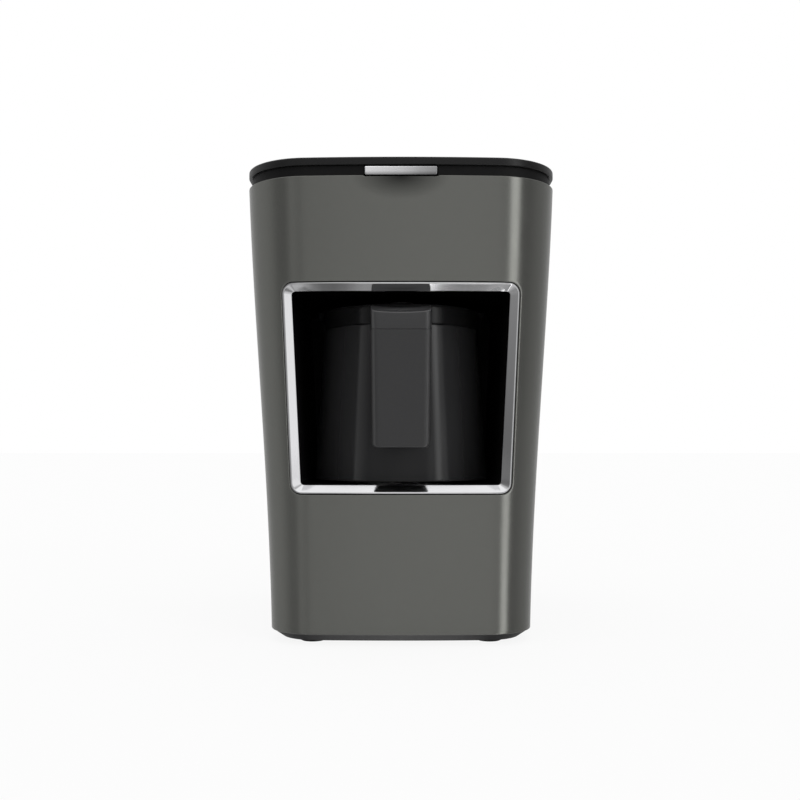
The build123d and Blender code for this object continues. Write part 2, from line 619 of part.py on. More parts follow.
with BuildPart() as control_board:
    block((-CONTROL_BOARD_HALF, CONTROL_BOARD_FRONT_Y, CONTROL_BOARD_LOW),
          (CONTROL_BOARD_HALF, CONTROL_BOARD_BACK_Y, CONTROL_BOARD_TOP))
    fillet(control_board.edges().filter_by(Axis.Z), BOARD_CORNER)
    for x, y in CONTROL_POST_PLACES:
        cylinder_along((x, y, CONTROL_BOARD_LOW), (0, 0, 1), BOARD_HOLE_RADIUS, BOARD_THICKNESS,
                       Mode.SUBTRACT)
finish(control_board, "control_board")

with BuildPart() as microcontroller:
    block((*CHIP_PLACE, CONTROL_BOARD_LOW - CHIP_SIZE[2]),
          (CHIP_PLACE[0] + CHIP_SIZE[0], CHIP_PLACE[1] + CHIP_SIZE[1], CONTROL_BOARD_LOW))
finish(microcontroller, "microcontroller")

with BuildPart() as buzzer:
    buzzer_bottom = (*BUZZER_PLACE, CONTROL_BOARD_LOW - BUZZER_HEIGHT)
    cylinder_along(buzzer_bottom, (0, 0, 1), BUZZER_RADIUS, BUZZER_HEIGHT)
    cylinder_along(buzzer_bottom, (0, 0, 1), *BUZZER_MOUTH, Mode.SUBTRACT)
finish(buzzer, "buzzer")

CONTROL_PLUG_LOW = CONTROL_BOARD_LOW - 9
CONTROL_PLUG_HALF = (5.0, 3.0)
SENSOR_PLUG_PLACE = (4.0, -28.0)
HARNESS_PLUG_PLACE = (-22.0, -28.0)

with BuildPart() as control_board_plugs:
    for x, y in (SENSOR_PLUG_PLACE, HARNESS_PLUG_PLACE):
        block((x - CONTROL_PLUG_HALF[0], y - CONTROL_PLUG_HALF[1], CONTROL_PLUG_LOW),
              (x + CONTROL_PLUG_HALF[0], y + CONTROL_PLUG_HALF[1], CONTROL_BOARD_LOW))
finish(control_board_plugs, "control_board_plugs")

# ---------------------------------------------------------------- chamber
CEILING_TOP = CHAMBER_CEILING + LINER_WALL
FLOOR_UNDERSIDE = CHAMBER_FLOOR - LINER_WALL
LINER_BACK_Y = CHAMBER_BACK_Y + LINER_WALL
FLANGE_CORNER = 6.0
CHAMBER_CORNER = 4.0
BOSS_OVERLAP = 0.5                # bosses of the liner start this deep in its wall
HEATER_BOSS_LOW = 76.8
HEATER_BOSS_RADIUS = 3.4
HEATER_BOSS_HOLE = 5.8
POWER_BOARD_Y = 46.0
POWER_POST_HOLE = 7.0
BEZEL_PIN_RADIUS = 1.2
BEZEL_PIN_LENGTH = 3.2
BEZEL_PIN_HOLE = 3.6
SMALL_SCREW_HEAD = (2.8, 1.8)     # radius and height
SMALL_SCREW_LENGTH = 6.0
SENSOR_RADIUS = 8.0


def chamber_outline(y, grow=0.0):
    return frame_outline(y, CHAMBER_FLOOR, CHAMBER_CEILING, CHAMBER_HALF_LOW, CHAMBER_HALF_HIGH,
                         CHAMBER_CORNER, grow)


def heater_screw_place(angle):
    return (HEATER_SCREW_RADIUS * cos(radians(angle)),
            POT_Y + HEATER_SCREW_RADIUS * sin(radians(angle)))


with BuildPart() as chamber_liner:
    extrude(frame_outline(BEZEL_BACK_Y, FLANGE_LOW, FLANGE_HIGH, FLANGE_HALF_LOW,
                          FLANGE_HALF_HIGH, FLANGE_CORNER), amount=BEZEL_BACK_Y - FLANGE_BACK_Y)
    extrude(chamber_outline(FLANGE_BACK_Y, LINER_WALL), amount=FLANGE_BACK_Y - LINER_BACK_Y)
    for angle in HEATER_SCREW_ANGLES:
        x, y = heater_screw_place(angle)
        cylinder_along((x, y, HEATER_BOSS_LOW), (0, 0, 1), HEATER_BOSS_RADIUS,
                       FLOOR_UNDERSIDE - HEATER_BOSS_LOW + BOSS_OVERLAP)
    for x, z in POWER_POST_PLACES:
        cylinder_along((x, LINER_BACK_Y - BOSS_OVERLAP, z), (0, 1, 0), POST_RADIUS,
                       POWER_BOARD_Y - LINER_BACK_Y + BOSS_OVERLAP)
    extrude(chamber_outline(BEZEL_BACK_Y - 1), amount=BEZEL_BACK_Y - 1 - CHAMBER_BACK_Y,
            mode=Mode.SUBTRACT)
    for angle in HEATER_SCREW_ANGLES:
        x, y = heater_screw_place(angle)
        cylinder_along((x, y, HEATER_BOSS_LOW), (0, 0, 1), SCREW_SHAFT + FIT, HEATER_BOSS_HOLE,
                       Mode.SUBTRACT)
    for x, z in POWER_POST_PLACES:
        cylinder_along((x, POWER_BOARD_Y, z), (0, -1, 0), BOARD_SCREW_SHAFT + FIT, POWER_POST_HOLE,
                       Mode.SUBTRACT)
    for x, z in LINER_SCREW_PLACES:
        cylinder_along((x, BEZEL_BACK_Y, z), (0, 1, 0), SCREW_PASSAGE, LINER_WALL * 2, Mode.SUBTRACT)
    for x, z in BEZEL_PIN_PLACES:
        cylinder_along((x, BEZEL_BACK_Y, z), (0, 1, 0), BEZEL_PIN_RADIUS + FIT, BEZEL_PIN_HOLE,
                       Mode.SUBTRACT)
    cylinder_along((0, POT_Y, FLOOR_UNDERSIDE), (0, 0, 1), FLOOR_HOLE_RADIUS, LINER_WALL * 2,
                   Mode.SUBTRACT)
    cylinder_along((0, POT_Y, CEILING_TOP), (0, 0, -1), SENSOR_RADIUS + RUNNING_GAP, LINER_WALL * 2,
                   Mode.SUBTRACT)
finish(chamber_liner, "chamber_liner")

with BuildPart() as liner_screws:
    for x, z in LINER_SCREW_PLACES:
        screw((x, FLANGE_BACK_Y, z), (0, -1, 0), *SMALL_SCREW_HEAD, SCREW_SHAFT, SMALL_SCREW_LENGTH)
finish(liner_screws, "liner_screws")

# ---------------------------------------------------------------- chrome frame round the chamber
BEZEL_SKIN = 0.1                  # the frame's face lies this far behind the painted one
CHAMFER_MARGIN = 20.0             # the cutting shapes run this far past the opening
CHAMFER_REACH = 30.0
CHAMFER_WIDTH = BEZEL_HALF_LOW - BEZEL_RIM - OPENING_HALF_LOW
CHAMFER_HEIGHT = (OPENING_LOW + OPENING_HIGH) / 2
ARC_FRONT_Y = FRONT_Y + FRONT_LEAN * (1 - taper(CHAMFER_HEIGHT))


def chamfer_section(height):
    """Plan of the space in front of the side chamfers, which rise to the painted surface."""
    share = (height - OPENING_LOW) / (OPENING_HIGH - OPENING_LOW)
    half = OPENING_HALF_LOW + (OPENING_HALF_HIGH - OPENING_HALF_LOW) * share
    behind = ARC_FRONT_Y + half ** 2 / (2 * FRONT_ARC) + BEZEL_DEPTH
    rise = behind - front_surface(half + CHAMFER_WIDTH, height)
    wide = half + CHAMFER_WIDTH / rise * CHAMFER_REACH
    with BuildSketch(Plane.XY.offset(height)) as section:
        with BuildLine():
            Polyline((-half, behind), (half, behind), (wide, behind - CHAMFER_REACH),
                     (-wide, behind - CHAMFER_REACH), close=True)
        make_face()
    return section.sketch


with BuildPart() as side_chamfers:
    loft([chamfer_section(OPENING_LOW - CHAMFER_MARGIN), chamfer_section(OPENING_HIGH + CHAMFER_MARGIN)])

with BuildPart() as chamfer_space:
    arc_centre = ARC_FRONT_Y + FRONT_ARC
    inner = FRONT_ARC - BEZEL_DEPTH
    outer = FRONT_ARC + CHAMFER_MARGIN
    rise = (BEZEL_HIGH - BEZEL_RIM - OPENING_HIGH) / BEZEL_DEPTH * (outer - inner)
    with BuildSketch(Plane(origin=(0, arc_centre, 0), x_dir=(0, -1, 0), z_dir=(-1, 0, 0))) as wedge:
        with BuildLine():
            Polyline((inner, OPENING_LOW), (outer, OPENING_LOW - rise), (outer, OPENING_HIGH + rise),
                     (inner, OPENING_HIGH), close=True)
        make_face()
    revolve(axis=Axis((0, arc_centre, 0), (0, 0, 1)), revolution_arc=10)
    mirror(about=Plane.YZ)
    add(side_chamfers.part, mode=Mode.INTERSECT)

with BuildPart() as window_bezel:
    extrude(bezel_outline(BEZEL_BACK_Y), amount=CHAMFER_MARGIN)
    loft(body_loft(BEZEL_SKIN), mode=Mode.INTERSECT)
    extrude(opening_outline(BEZEL_BACK_Y + 1), amount=CHAMFER_REACH, mode=Mode.SUBTRACT)
    add(chamfer_space.part, mode=Mode.SUBTRACT)
    for x, z in BEZEL_PIN_PLACES:
        cylinder_along((x, BEZEL_BACK_Y, z), (0, 1, 0), BEZEL_PIN_RADIUS, BEZEL_PIN_LENGTH)
finish(window_bezel, "window_bezel")

# ---------------------------------------------------------------- foam sensor in the ceiling
SENSOR_BORE = 6.2
SENSOR_LOW = 188.0
SENSOR_HIGH = 204.0
SENSOR_COLLAR_RADIUS = 12.0
SENSOR_COLLAR_TOP = 192.3
LENS_LOW = 188.6
LENS_THICKNESS = 2.0
SENSOR_EYE_RADIUS = 2.5
SENSOR_EYE_LENGTH = 5.0
SENSOR_BOARD_HALF = 9.0
SENSOR_PLUG_X = (1.0, 7.0)        # from and to
SENSOR_PLUG_Y = (POT_Y - 8.0, POT_Y - 2.0)
SENSOR_PLUG_TOP = 210.0

with BuildPart() as foam_sensor_housing:
    ring([(SENSOR_BORE, SENSOR_LOW), (SENSOR_RADIUS, SENSOR_LOW), (SENSOR_RADIUS, CEILING_TOP),
          (SENSOR_COLLAR_RADIUS, CEILING_TOP), (SENSOR_COLLAR_RADIUS, SENSOR_COLLAR_TOP),
          (SENSOR_RADIUS, SENSOR_COLLAR_TOP), (SENSOR_RADIUS, SENSOR_HIGH), (SENSOR_BORE, SENSOR_HIGH)])
finish(foam_sensor_housing, "foam_sensor_housing")

with BuildPart() as foam_sensor_lens:
    cylinder_along((0, POT_Y, LENS_LOW), (0, 0, 1), SENSOR_BORE - FIT, LENS_THICKNESS)
finish(foam_sensor_lens, "foam_sensor_lens")

with BuildPart() as foam_sensor_board:
    board_top = SENSOR_HIGH + BOARD_THICKNESS
    block((-SENSOR_BOARD_HALF, POT_Y - SENSOR_BOARD_HALF, SENSOR_HIGH),
          (SENSOR_BOARD_HALF, POT_Y + SENSOR_BOARD_HALF, board_top))
    cylinder_along((0, POT_Y, SENSOR_HIGH), (0, 0, -1), SENSOR_EYE_RADIUS, SENSOR_EYE_LENGTH)
    block((SENSOR_PLUG_X[0], SENSOR_PLUG_Y[0], board_top),
          (SENSOR_PLUG_X[1], SENSOR_PLUG_Y[1], SENSOR_PLUG_TOP))
finish(foam_sensor_board, "foam_sensor_board")

# ---------------------------------------------------------------- heater under the chamber floor
HOTPLATE_EDGE = 0.6
SEAL_TOP = 84.9

with BuildPart() as heating_plate:
    cylinder_along((0, POT_Y, HOTPLATE_FLANGE_BOTTOM), (0, 0, 1), HOTPLATE_FLANGE_RADIUS,
                   HOTPLATE_FLANGE_TOP - HOTPLATE_FLANGE_BOTTOM)
    cylinder_along((0, POT_Y, HOTPLATE_FLANGE_TOP), (0, 0, 1), HOTPLATE_RADIUS,
                   HOTPLATE_TOP - HOTPLATE_FLANGE_TOP)
    fillet(heating_plate.edges().group_by(Axis.Z)[-1], HOTPLATE_EDGE)
finish(heating_plate, "heating_plate")

with BuildPart() as heater_seal:
    seal_inner = HOTPLATE_RADIUS + RUNNING_GAP
    seal_outer = HOTPLATE_FLANGE_RADIUS - 2 * RUNNING_GAP
    seal_neck = FLOOR_HOLE_RADIUS - RUNNING_GAP
    ring([(seal_inner, HOTPLATE_FLANGE_TOP), (seal_outer, HOTPLATE_FLANGE_TOP),
          (seal_outer, FLOOR_UNDERSIDE), (seal_neck, FLOOR_UNDERSIDE), (seal_neck, SEAL_TOP),
          (seal_inner, SEAL_TOP)])
finish(heater_seal, "heater_seal")

ELEMENT_Z = HOTPLATE_FLANGE_BOTTOM - ELEMENT_TUBE
ELEMENT_LEG_LOW = 56.0
LEG_X = ELEMENT_RADIUS * sin(radians(ELEMENT_GAP_DEGREES / 2))
LEG_Y = POT_Y + ELEMENT_RADIUS * cos(radians(ELEMENT_GAP_DEGREES / 2))

with BuildPart() as heating_element:
    start_angle = 90 + ELEMENT_GAP_DEGREES / 2
    toward = (cos(radians(start_angle)), sin(radians(start_angle)), 0)
    with BuildSketch(Plane(origin=(0, POT_Y, ELEMENT_Z), x_dir=toward,
                           z_dir=Vector(*toward).cross(Vector(0, 0, 1)))) as element_section:
        with Locations((ELEMENT_RADIUS, 0)):
            Circle(ELEMENT_TUBE)
    revolve(axis=Axis((0, POT_Y, 0), (0, 0, 1)), revolution_arc=360 - ELEMENT_GAP_DEGREES)
    for side in (-1, 1):
        with Locations((side * LEG_X, LEG_Y, ELEMENT_Z)):
            Sphere(ELEMENT_TUBE)
        cylinder_along((side * LEG_X, LEG_Y, ELEMENT_LEG_LOW), (0, 0, 1), ELEMENT_TUBE,
                       ELEMENT_Z - ELEMENT_LEG_LOW)
finish(heating_element, "heating_element")

SHIELD_FLOOR = 62.0
SHIELD_SHEET = 0.8
SHIELD_RADIUS = 46.8
SHIELD_RIM_RADIUS = 55.0
SHIELD_RIM_LOW = HEATER_BOSS_LOW - SHIELD_SHEET
SHIELD_TOP = 81.8
LEG_HOLE_RADIUS = ELEMENT_TUBE + 1

with BuildPart() as heat_shield:
    ring([(0, SHIELD_FLOOR), (SHIELD_RADIUS, SHIELD_FLOOR), (SHIELD_RADIUS, SHIELD_RIM_LOW),
          (SHIELD_RIM_RADIUS, SHIELD_RIM_LOW), (SHIELD_RIM_RADIUS, HEATER_BOSS_LOW),
          (SHIELD_RADIUS, HEATER_BOSS_LOW), (SHIELD_RADIUS, SHIELD_TOP),
          (SHIELD_RADIUS - SHIELD_SHEET, SHIELD_TOP),
          (SHIELD_RADIUS - SHIELD_SHEET, SHIELD_FLOOR + SHIELD_SHEET), (0, SHIELD_FLOOR + SHIELD_SHEET)])
    for side in (-1, 1):
        cylinder_along((side * LEG_X, LEG_Y, SHIELD_FLOOR), (0, 0, 1), LEG_HOLE_RADIUS,
                       2 * SHIELD_SHEET, Mode.SUBTRACT)
    for angle in HEATER_SCREW_ANGLES:
        x, y = heater_screw_place(angle)
        cylinder_along((x, y, SHIELD_RIM_LOW), (0, 0, 1), SCREW_PASSAGE, SHIELD_SHEET, Mode.SUBTRACT)
    # The rim is cut straight in front, behind the liner's flange.
    block((-FAR, -FAR, SHIELD_FLOOR), (FAR, FLANGE_BACK_Y + SHIELD_SHEET, SHIELD_TOP), Mode.SUBTRACT)
finish(heat_shield, "heat_shield")

with BuildPart() as heater_screws:
    for angle in HEATER_SCREW_ANGLES:
        x, y = heater_screw_place(angle)
        screw((x, y, SHIELD_RIM_LOW), (0, 0, 1), *SMALL_SCREW_HEAD, SCREW_SHAFT, SMALL_SCREW_LENGTH)
finish(heater_screws, "heater_screws")

PROBE_RADIUS = 4.0
PROBE_LOW = 72.0
CLIP_HALF = 18.0
CLIP_SHEET = 0.8

with BuildPart() as temperature_sensor:
    cylinder_along((0, POT_Y, PROBE_LOW), (0, 0, 1), PROBE_RADIUS, HOTPLATE_FLANGE_BOTTOM - PROBE_LOW)
finish(temperature_sensor, "temperature_sensor")

with BuildPart() as sensor_clip:
    block((-CLIP_HALF, POT_Y - PROBE_RADIUS, PROBE_LOW - CLIP_SHEET),
          (CLIP_HALF, POT_Y + PROBE_RADIUS, HOTPLATE_FLANGE_BOTTOM))
    block((CLIP_SHEET - CLIP_HALF, POT_Y - PROBE_RADIUS, PROBE_LOW),
          (CLIP_HALF - CLIP_SHEET, POT_Y + PROBE_RADIUS, HOTPLATE_FLANGE_BOTTOM), Mode.SUBTRACT)
finish(sensor_clip, "sensor_clip")

FUSE_X = 22.0
FUSE_Z = 58.6
FUSE_RADIUS = 2.2
FUSE_Y = (-26.0, -8.0)            # from and to
FUSE_WIRE_RADIUS = 0.6
FUSE_WIRE_REACH = 4.0
FUSE_BRACKET_HALF = 4.0
FUSE_BRACKET_Y = (-20.0, -14.0)   # from and to
FUSE_BRACKET_LOW = 55.6

with BuildPart() as thermal_fuse:
    cylinder_along((FUSE_X, FUSE_Y[0], FUSE_Z), (0, 1, 0), FUSE_RADIUS, FUSE_Y[1] - FUSE_Y[0])
    cylinder_along((FUSE_X, FUSE_Y[0] - FUSE_WIRE_REACH, FUSE_Z), (0, 1, 0), FUSE_WIRE_RADIUS,
                   FUSE_Y[1] - FUSE_Y[0] + 2 * FUSE_WIRE_REACH)
finish(thermal_fuse, "thermal_fuse")

with BuildPart() as fuse_bracket:
    block((FUSE_X - FUSE_BRACKET_HALF, FUSE_BRACKET_Y[0], FUSE_BRACKET_LOW),
          (FUSE_X + FUSE_BRACKET_HALF, FUSE_BRACKET_Y[1], SHIELD_FLOOR))
    cylinder_along((FUSE_X, FUSE_BRACKET_Y[0], FUSE_Z), (0, 1, 0), FUSE_RADIUS + FIT,
                   FUSE_BRACKET_Y[1] - FUSE_BRACKET_Y[0], Mode.SUBTRACT)
finish(fuse_bracket, "fuse_bracket")

# ---------------------------------------------------------------- power board behind the chamber
POWER_BOARD_BACK_Y = POWER_BOARD_Y + BOARD_THICKNESS
POWER_BOARD_HALF = 45.0
POWER_BOARD_LOW = 104.0
POWER_BOARD_HIGH = 180.0
COMPONENT_EDGE = 0.8
COIL_BOX = ((-32.0, 124.0), (0.0, 150.0))      # lower left and upper right, seen from the front
COIL_BACK_Y = 72.0
COIL_CORNER = 1.5
CORE_BOX = ((-24.0, 119.0), (-8.0, 155.0))
CORE_INSET = 4.0
RELAY_BOX = ((8.0, 128.0), (27.0, 156.0))
RELAY_BACK_Y = 63.0
CAPACITOR_PLACE = (-6.0, 168.0)
CAPACITOR_RADIUS = 5.5
CAPACITOR_LENGTH = 18.0
PLUG_BACK_Y = POWER_BOARD_BACK_Y + 12.0
MAINS_PLUG = ((22.0, 106.0), (36.0, 116.0))
HEATER_PLUG = ((-14.0, 106.0), (14.0, 116.0))
HARNESS_PLUG = ((-28.0, 168.0), (-16.0, 178.0))
BOARD_SCREW_HEAD = (2.4, 1.6)     # radius and height


def board_block(box, front_y, back_y):
    """Box on the power board between two corners seen from the front."""
    (left, low), (right, high) = box
    block((left, front_y, low), (right, back_y, high))


with BuildPart() as power_board:
    block((-POWER_BOARD_HALF, POWER_BOARD_Y, POWER_BOARD_LOW),
          (POWER_BOARD_HALF, POWER_BOARD_BACK_Y, POWER_BOARD_HIGH))
    fillet(power_board.edges().filter_by(Axis.Y), BOARD_CORNER)
    for x, z in POWER_POST_PLACES:
        cylinder_along((x, POWER_BOARD_Y, z), (0, 1, 0), BOARD_HOLE_RADIUS, BOARD_THICKNESS,
                       Mode.SUBTRACT)
finish(power_board, "power_board")

with BuildPart() as transformer:
    board_block(COIL_BOX, POWER_BOARD_BACK_Y, COIL_BACK_Y)
    fillet(transformer.edges().filter_by(Axis.Y), COIL_CORNER)
    board_block(CORE_BOX, POWER_BOARD_BACK_Y + CORE_INSET, COIL_BACK_Y - CORE_INSET)
finish(transformer, "transformer")

with BuildPart() as relay:
    board_block(RELAY_BOX, POWER_BOARD_BACK_Y, RELAY_BACK_Y)
    fillet(relay.faces().sort_by(Axis.Y)[-1].edges(), COMPONENT_EDGE)
finish(relay, "relay")

with BuildPart() as capacitor:
    cylinder_along((CAPACITOR_PLACE[0], POWER_BOARD_BACK_Y, CAPACITOR_PLACE[1]), (0, 1, 0),
                   CAPACITOR_RADIUS, CAPACITOR_LENGTH)
    fillet(capacitor.edges().group_by(Axis.Y)[-1], COMPONENT_EDGE)
finish(capacitor, "capacitor")

with BuildPart() as power_board_plugs:
    for box in (MAINS_PLUG, HEATER_PLUG, HARNESS_PLUG):
        board_block(box, POWER_BOARD_BACK_Y, PLUG_BACK_Y)
finish(power_board_plugs, "power_board_plugs")

with BuildPart() as board_screws:
    for x, z in POWER_POST_PLACES:
        screw((x, POWER_BOARD_BACK_Y, z), (0, -1, 0), *BOARD_SCREW_HEAD, BOARD_SCREW_SHAFT,
              BOARD_SCREW_LENGTH)
    for x, y in CONTROL_POST_PLACES:
        screw((x, y, CONTROL_BOARD_LOW), (0, 0, 1), *BOARD_SCREW_HEAD, BOARD_SCREW_SHAFT,
              BOARD_SCREW_LENGTH)
finish(board_screws, "board_screws")

TERMINAL_LOW = (10.0, 56.0, BASE_FLOOR)
TERMINAL_HIGH = (38.0, 74.0, 20.0)
TERMINAL_HOLE_PLACES = [(15.0, 70.0), (24.0, 70.0), (33.0, 70.0)]
TERMINAL_HOLE_RADIUS = 2.0
TERMINAL_HOLE_DEPTH = 5.0

with BuildPart() as terminal_block:
    block(TERMINAL_LOW, TERMINAL_HIGH)
    for x, y in TERMINAL_HOLE_PLACES:
        cylinder_along((x, y, TERMINAL_HIGH[2]), (0, 0, -1), TERMINAL_HOLE_RADIUS, TERMINAL_HOLE_DEPTH,
                       Mode.SUBTRACT)
finish(terminal_block, "terminal_block")

# ---------------------------------------------------------------- leads held inside the housing
LEAD_Y = 54.0
LEAD_RADIUS = 1.3
SHEATH_RADIUS = 1.8
MAINS_LEAD_X = (26.0, 32.0)
MAINS_BENDS = [(LEAD_Y, 84.0), (62.0, 52.0)]                     # y and z of the bends
HEATER_BENDS = [(LEG_Y, 45.0), (24.0, 34.0), (42.0, 36.0), (LEAD_Y, 56.0)]
SENSOR_LEAD_Y = -27.0
SENSOR_BENDS = [(POT_Y - 5, 216.0), (SENSOR_LEAD_Y, 224.0)]
HARNESS_X, HARNESS_Y = HARNESS_PLUG_PLACE
HARNESS_BENDS = [(HARNESS_Y, 218.0), (-10.0, 204.0), (30.0, 202.0), (LEAD_Y, 192.0)]


def lead(x, start, bends, end, radius=LEAD_RADIUS):
    """Lead in the upright plane at x, from a start over its bends to an end, each of y and z."""
    tube([(x, *place) for place in (start, *bends, end)], radius)


with BuildPart() as mains_leads:
    for x in MAINS_LEAD_X:
        lead(x, (LEAD_Y, MAINS_PLUG[0][1]), MAINS_BENDS, (MAINS_BENDS[-1][0], TERMINAL_HIGH[2]))
finish(mains_leads, "mains_leads")

with BuildPart() as heater_leads:
    for side in (-1, 1):
        lead(side * LEG_X, (LEG_Y, ELEMENT_LEG_LOW), HEATER_BENDS, (LEAD_Y, HEATER_PLUG[0][1]))
finish(heater_leads, "heater_leads")

with BuildPart() as sensor_lead:
    lead(SENSOR_PLUG_PLACE[0], (POT_Y - 5, SENSOR_PLUG_TOP), SENSOR_BENDS,
         (SENSOR_LEAD_Y, CONTROL_PLUG_LOW))
finish(sensor_lead, "sensor_lead")

with BuildPart() as signal_harness:
    lead(HARNESS_X, (HARNESS_Y, CONTROL_PLUG_LOW), HARNESS_BENDS, (LEAD_Y, HARNESS_PLUG[1][1]),
         SHEATH_RADIUS)
finish(signal_harness, "signal_harness")

# ---------------------------------------------------------------- pot
SLEEVE_LIP_RADIUS = 46.2          # the sleeve's lower lip reaches inwards to this radius
SLEEVE_LIP_TOP = SLEEVE_BOTTOM + 1.4
CUP_FLOOR_TOP = CUP_BOTTOM + 1.2
POT_BASE_RADIUS = 46.1
POT_BASE_EDGE = 0.5
RIM_ROUND = 1.3
HANDLE_SCREW_X = 4.2
HANDLE_SCREW_Z = 161.3
HANDLE_SCREW_SEAT_Y = POT_Y - pot_radius(HANDLE_SCREW_Z) + 1.6
HANDLE_SCREW_SHAFT = 1.4
HANDLE_SCREW_HEAD = (2.6, 1.5)    # radius and height
HANDLE_SCREW_LENGTH = 12.0
HANDLE_SCREW_WELL = 2.8           # radius of the place of the head


def cup_radius(height):
    """Outer radius of the steel cup, parallel to the inside of the sleeve."""
    return pot_radius(height) - SLEEVE_WALL - CUP_GAP


def standing(kind, *sizes, bottom, x=0.0, mode=Mode.ADD):
    """Upright cylinder or cone beside the axis of the pot, from its bottom."""
    with Locations((x, POT_Y, bottom)):
        kind(*sizes, align=(Align.CENTER, Align.CENTER, Align.MIN), mode=mode)


def handle_screw_holes():
    """Holes in the part being built for the screws that join the handle to the sleeve."""
    for side in (-1, 1):
        cylinder_along((side * HANDLE_SCREW_X, HANDLE_SCREW_SEAT_Y, HANDLE_SCREW_Z), (0, -1, 0),
                       HANDLE_SCREW_SHAFT + FIT, HANDLE_SCREW_LENGTH + 1, Mode.SUBTRACT)


with BuildPart() as pot_body:
    ring([(SLEEVE_LIP_RADIUS, SLEEVE_BOTTOM), (POT_RADIUS_BOTTOM, SLEEVE_BOTTOM),
          (POT_RADIUS_TOP, SLEEVE_TOP), (POT_RADIUS_TOP - SLEEVE_WALL, SLEEVE_TOP),
          (pot_radius(SLEEVE_LIP_TOP) - SLEEVE_WALL, SLEEVE_LIP_TOP), (SLEEVE_LIP_RADIUS, SLEEVE_LIP_TOP)])
    for side in (-1, 1):
        cylinder_along((side * HANDLE_SCREW_X, HANDLE_SCREW_SEAT_Y, HANDLE_SCREW_Z), (0, 1, 0),
                       HANDLE_SCREW_WELL, 2 * SLEEVE_WALL, Mode.SUBTRACT)
    handle_screw_holes()
finish(pot_body, "pot_body")

with BuildPart() as pot_liner:
    ring([(0, CUP_BOTTOM), (cup_radius(CUP_BOTTOM), CUP_BOTTOM), (cup_radius(CUP_TOP), CUP_TOP),
          (cup_radius(CUP_TOP) - CUP_WALL, CUP_TOP),
          (cup_radius(CUP_FLOOR_TOP) - CUP_WALL, CUP_FLOOR_TOP), (0, CUP_FLOOR_TOP)])
finish(pot_liner, "pot_liner")

with BuildPart() as pot_base:
    standing(Cylinder, POT_BASE_RADIUS, CUP_BOTTOM - POT_BOTTOM, bottom=POT_BOTTOM)
    fillet(pot_base.edges().group_by(Axis.Z)[0], POT_BASE_EDGE)
finish(pot_base, "pot_base")

COLLAR_INNER = cup_radius(COLLAR_BOTTOM) + RUNNING_GAP
RIM_INNER = cup_radius(CUP_TOP) - CUP_WALL

with BuildPart() as pot_collar:
    ring([(COLLAR_INNER, COLLAR_BOTTOM), (POT_RADIUS_TOP, COLLAR_BOTTOM), (POT_RADIUS_TOP, RIM_TOP),
          (RIM_INNER, RIM_TOP), (RIM_INNER, CUP_TOP), (COLLAR_INNER, CUP_TOP)])
    fillet(pot_collar.edges().group_by(Axis.Z)[-1], RIM_ROUND)
    for side in (-1, 1):
        standing(Cone, SPOUT_ROOT_RADIUS, SPOUT_TOP_RADIUS, RIM_TOP - COLLAR_BOTTOM,
                 bottom=COLLAR_BOTTOM, x=side * SPOUT_X)
    # The cup's place is cleared again where the spouts' cones reach into it.
    standing(Cylinder, COLLAR_INNER, CUP_TOP - COLLAR_BOTTOM, bottom=COLLAR_BOTTOM, mode=Mode.SUBTRACT)
    standing(Cylinder, RIM_INNER, RIM_TOP - CUP_TOP, bottom=CUP_TOP, mode=Mode.SUBTRACT)
    for side in (-1, 1):
        standing(Cone, SPOUT_TOP_RADIUS - 2 * SPOUT_WALL, SPOUT_TOP_RADIUS - SPOUT_WALL,
                 RIM_TOP - CUP_TOP, bottom=CUP_TOP, x=side * SPOUT_X, mode=Mode.SUBTRACT)
finish(pot_collar, "pot_collar")

# ---------------------------------------------------------------- handle of the pot
ARM_INNER_Y = POT_Y - 44.0
PARTING_GAP = 0.1
SEAT_GAP = 0.02
HANDLE_SIDE_ROUND = 3.8           # rounding of the upright front edges


def clear_pot():
    """Cuts the outside of the sleeve and the collar out of the part being built."""
    standing(Cone, POT_RADIUS_BOTTOM + SEAT_GAP, POT_RADIUS_TOP + SEAT_GAP, SLEEVE_TOP - SLEEVE_BOTTOM,
             bottom=SLEEVE_BOTTOM, mode=Mode.SUBTRACT)
    standing(Cylinder, POT_RADIUS_TOP + SEAT_GAP, RIM_TOP - SLEEVE_TOP, bottom=SLEEVE_TOP,
             mode=Mode.SUBTRACT)


with BuildPart() as pot_handle:
    with BuildSketch(upright(HANDLE_BACK_Y)) as slab_face:
        with BuildLine():
            Polyline((-HANDLE_HALF_LOW, HANDLE_LOW), (HANDLE_HALF_LOW, HANDLE_LOW),
                     (HANDLE_HALF_HIGH, HANDLE_PARTING), (-HANDLE_HALF_HIGH, HANDLE_PARTING),
                     close=True)
        make_face()
    extrude(amount=HANDLE_BACK_Y - HANDLE_FRONT_Y)
    front_face = pot_handle.faces().sort_by(Axis.Y)[0]
    fillet(front_face.edges().group_by(Axis.Z)[1], HANDLE_SIDE_ROUND)
    fillet(pot_handle.edges().filter_by(Axis.Y).group_by(Axis.Z)[0], HANDLE_CORNER)
    block((-ARM_HALF, HANDLE_BACK_Y, ARM_LOW), (ARM_HALF, ARM_INNER_Y, HANDLE_PARTING))
    clear_pot()
    handle_screw_holes()
finish(pot_handle, "pot_handle")

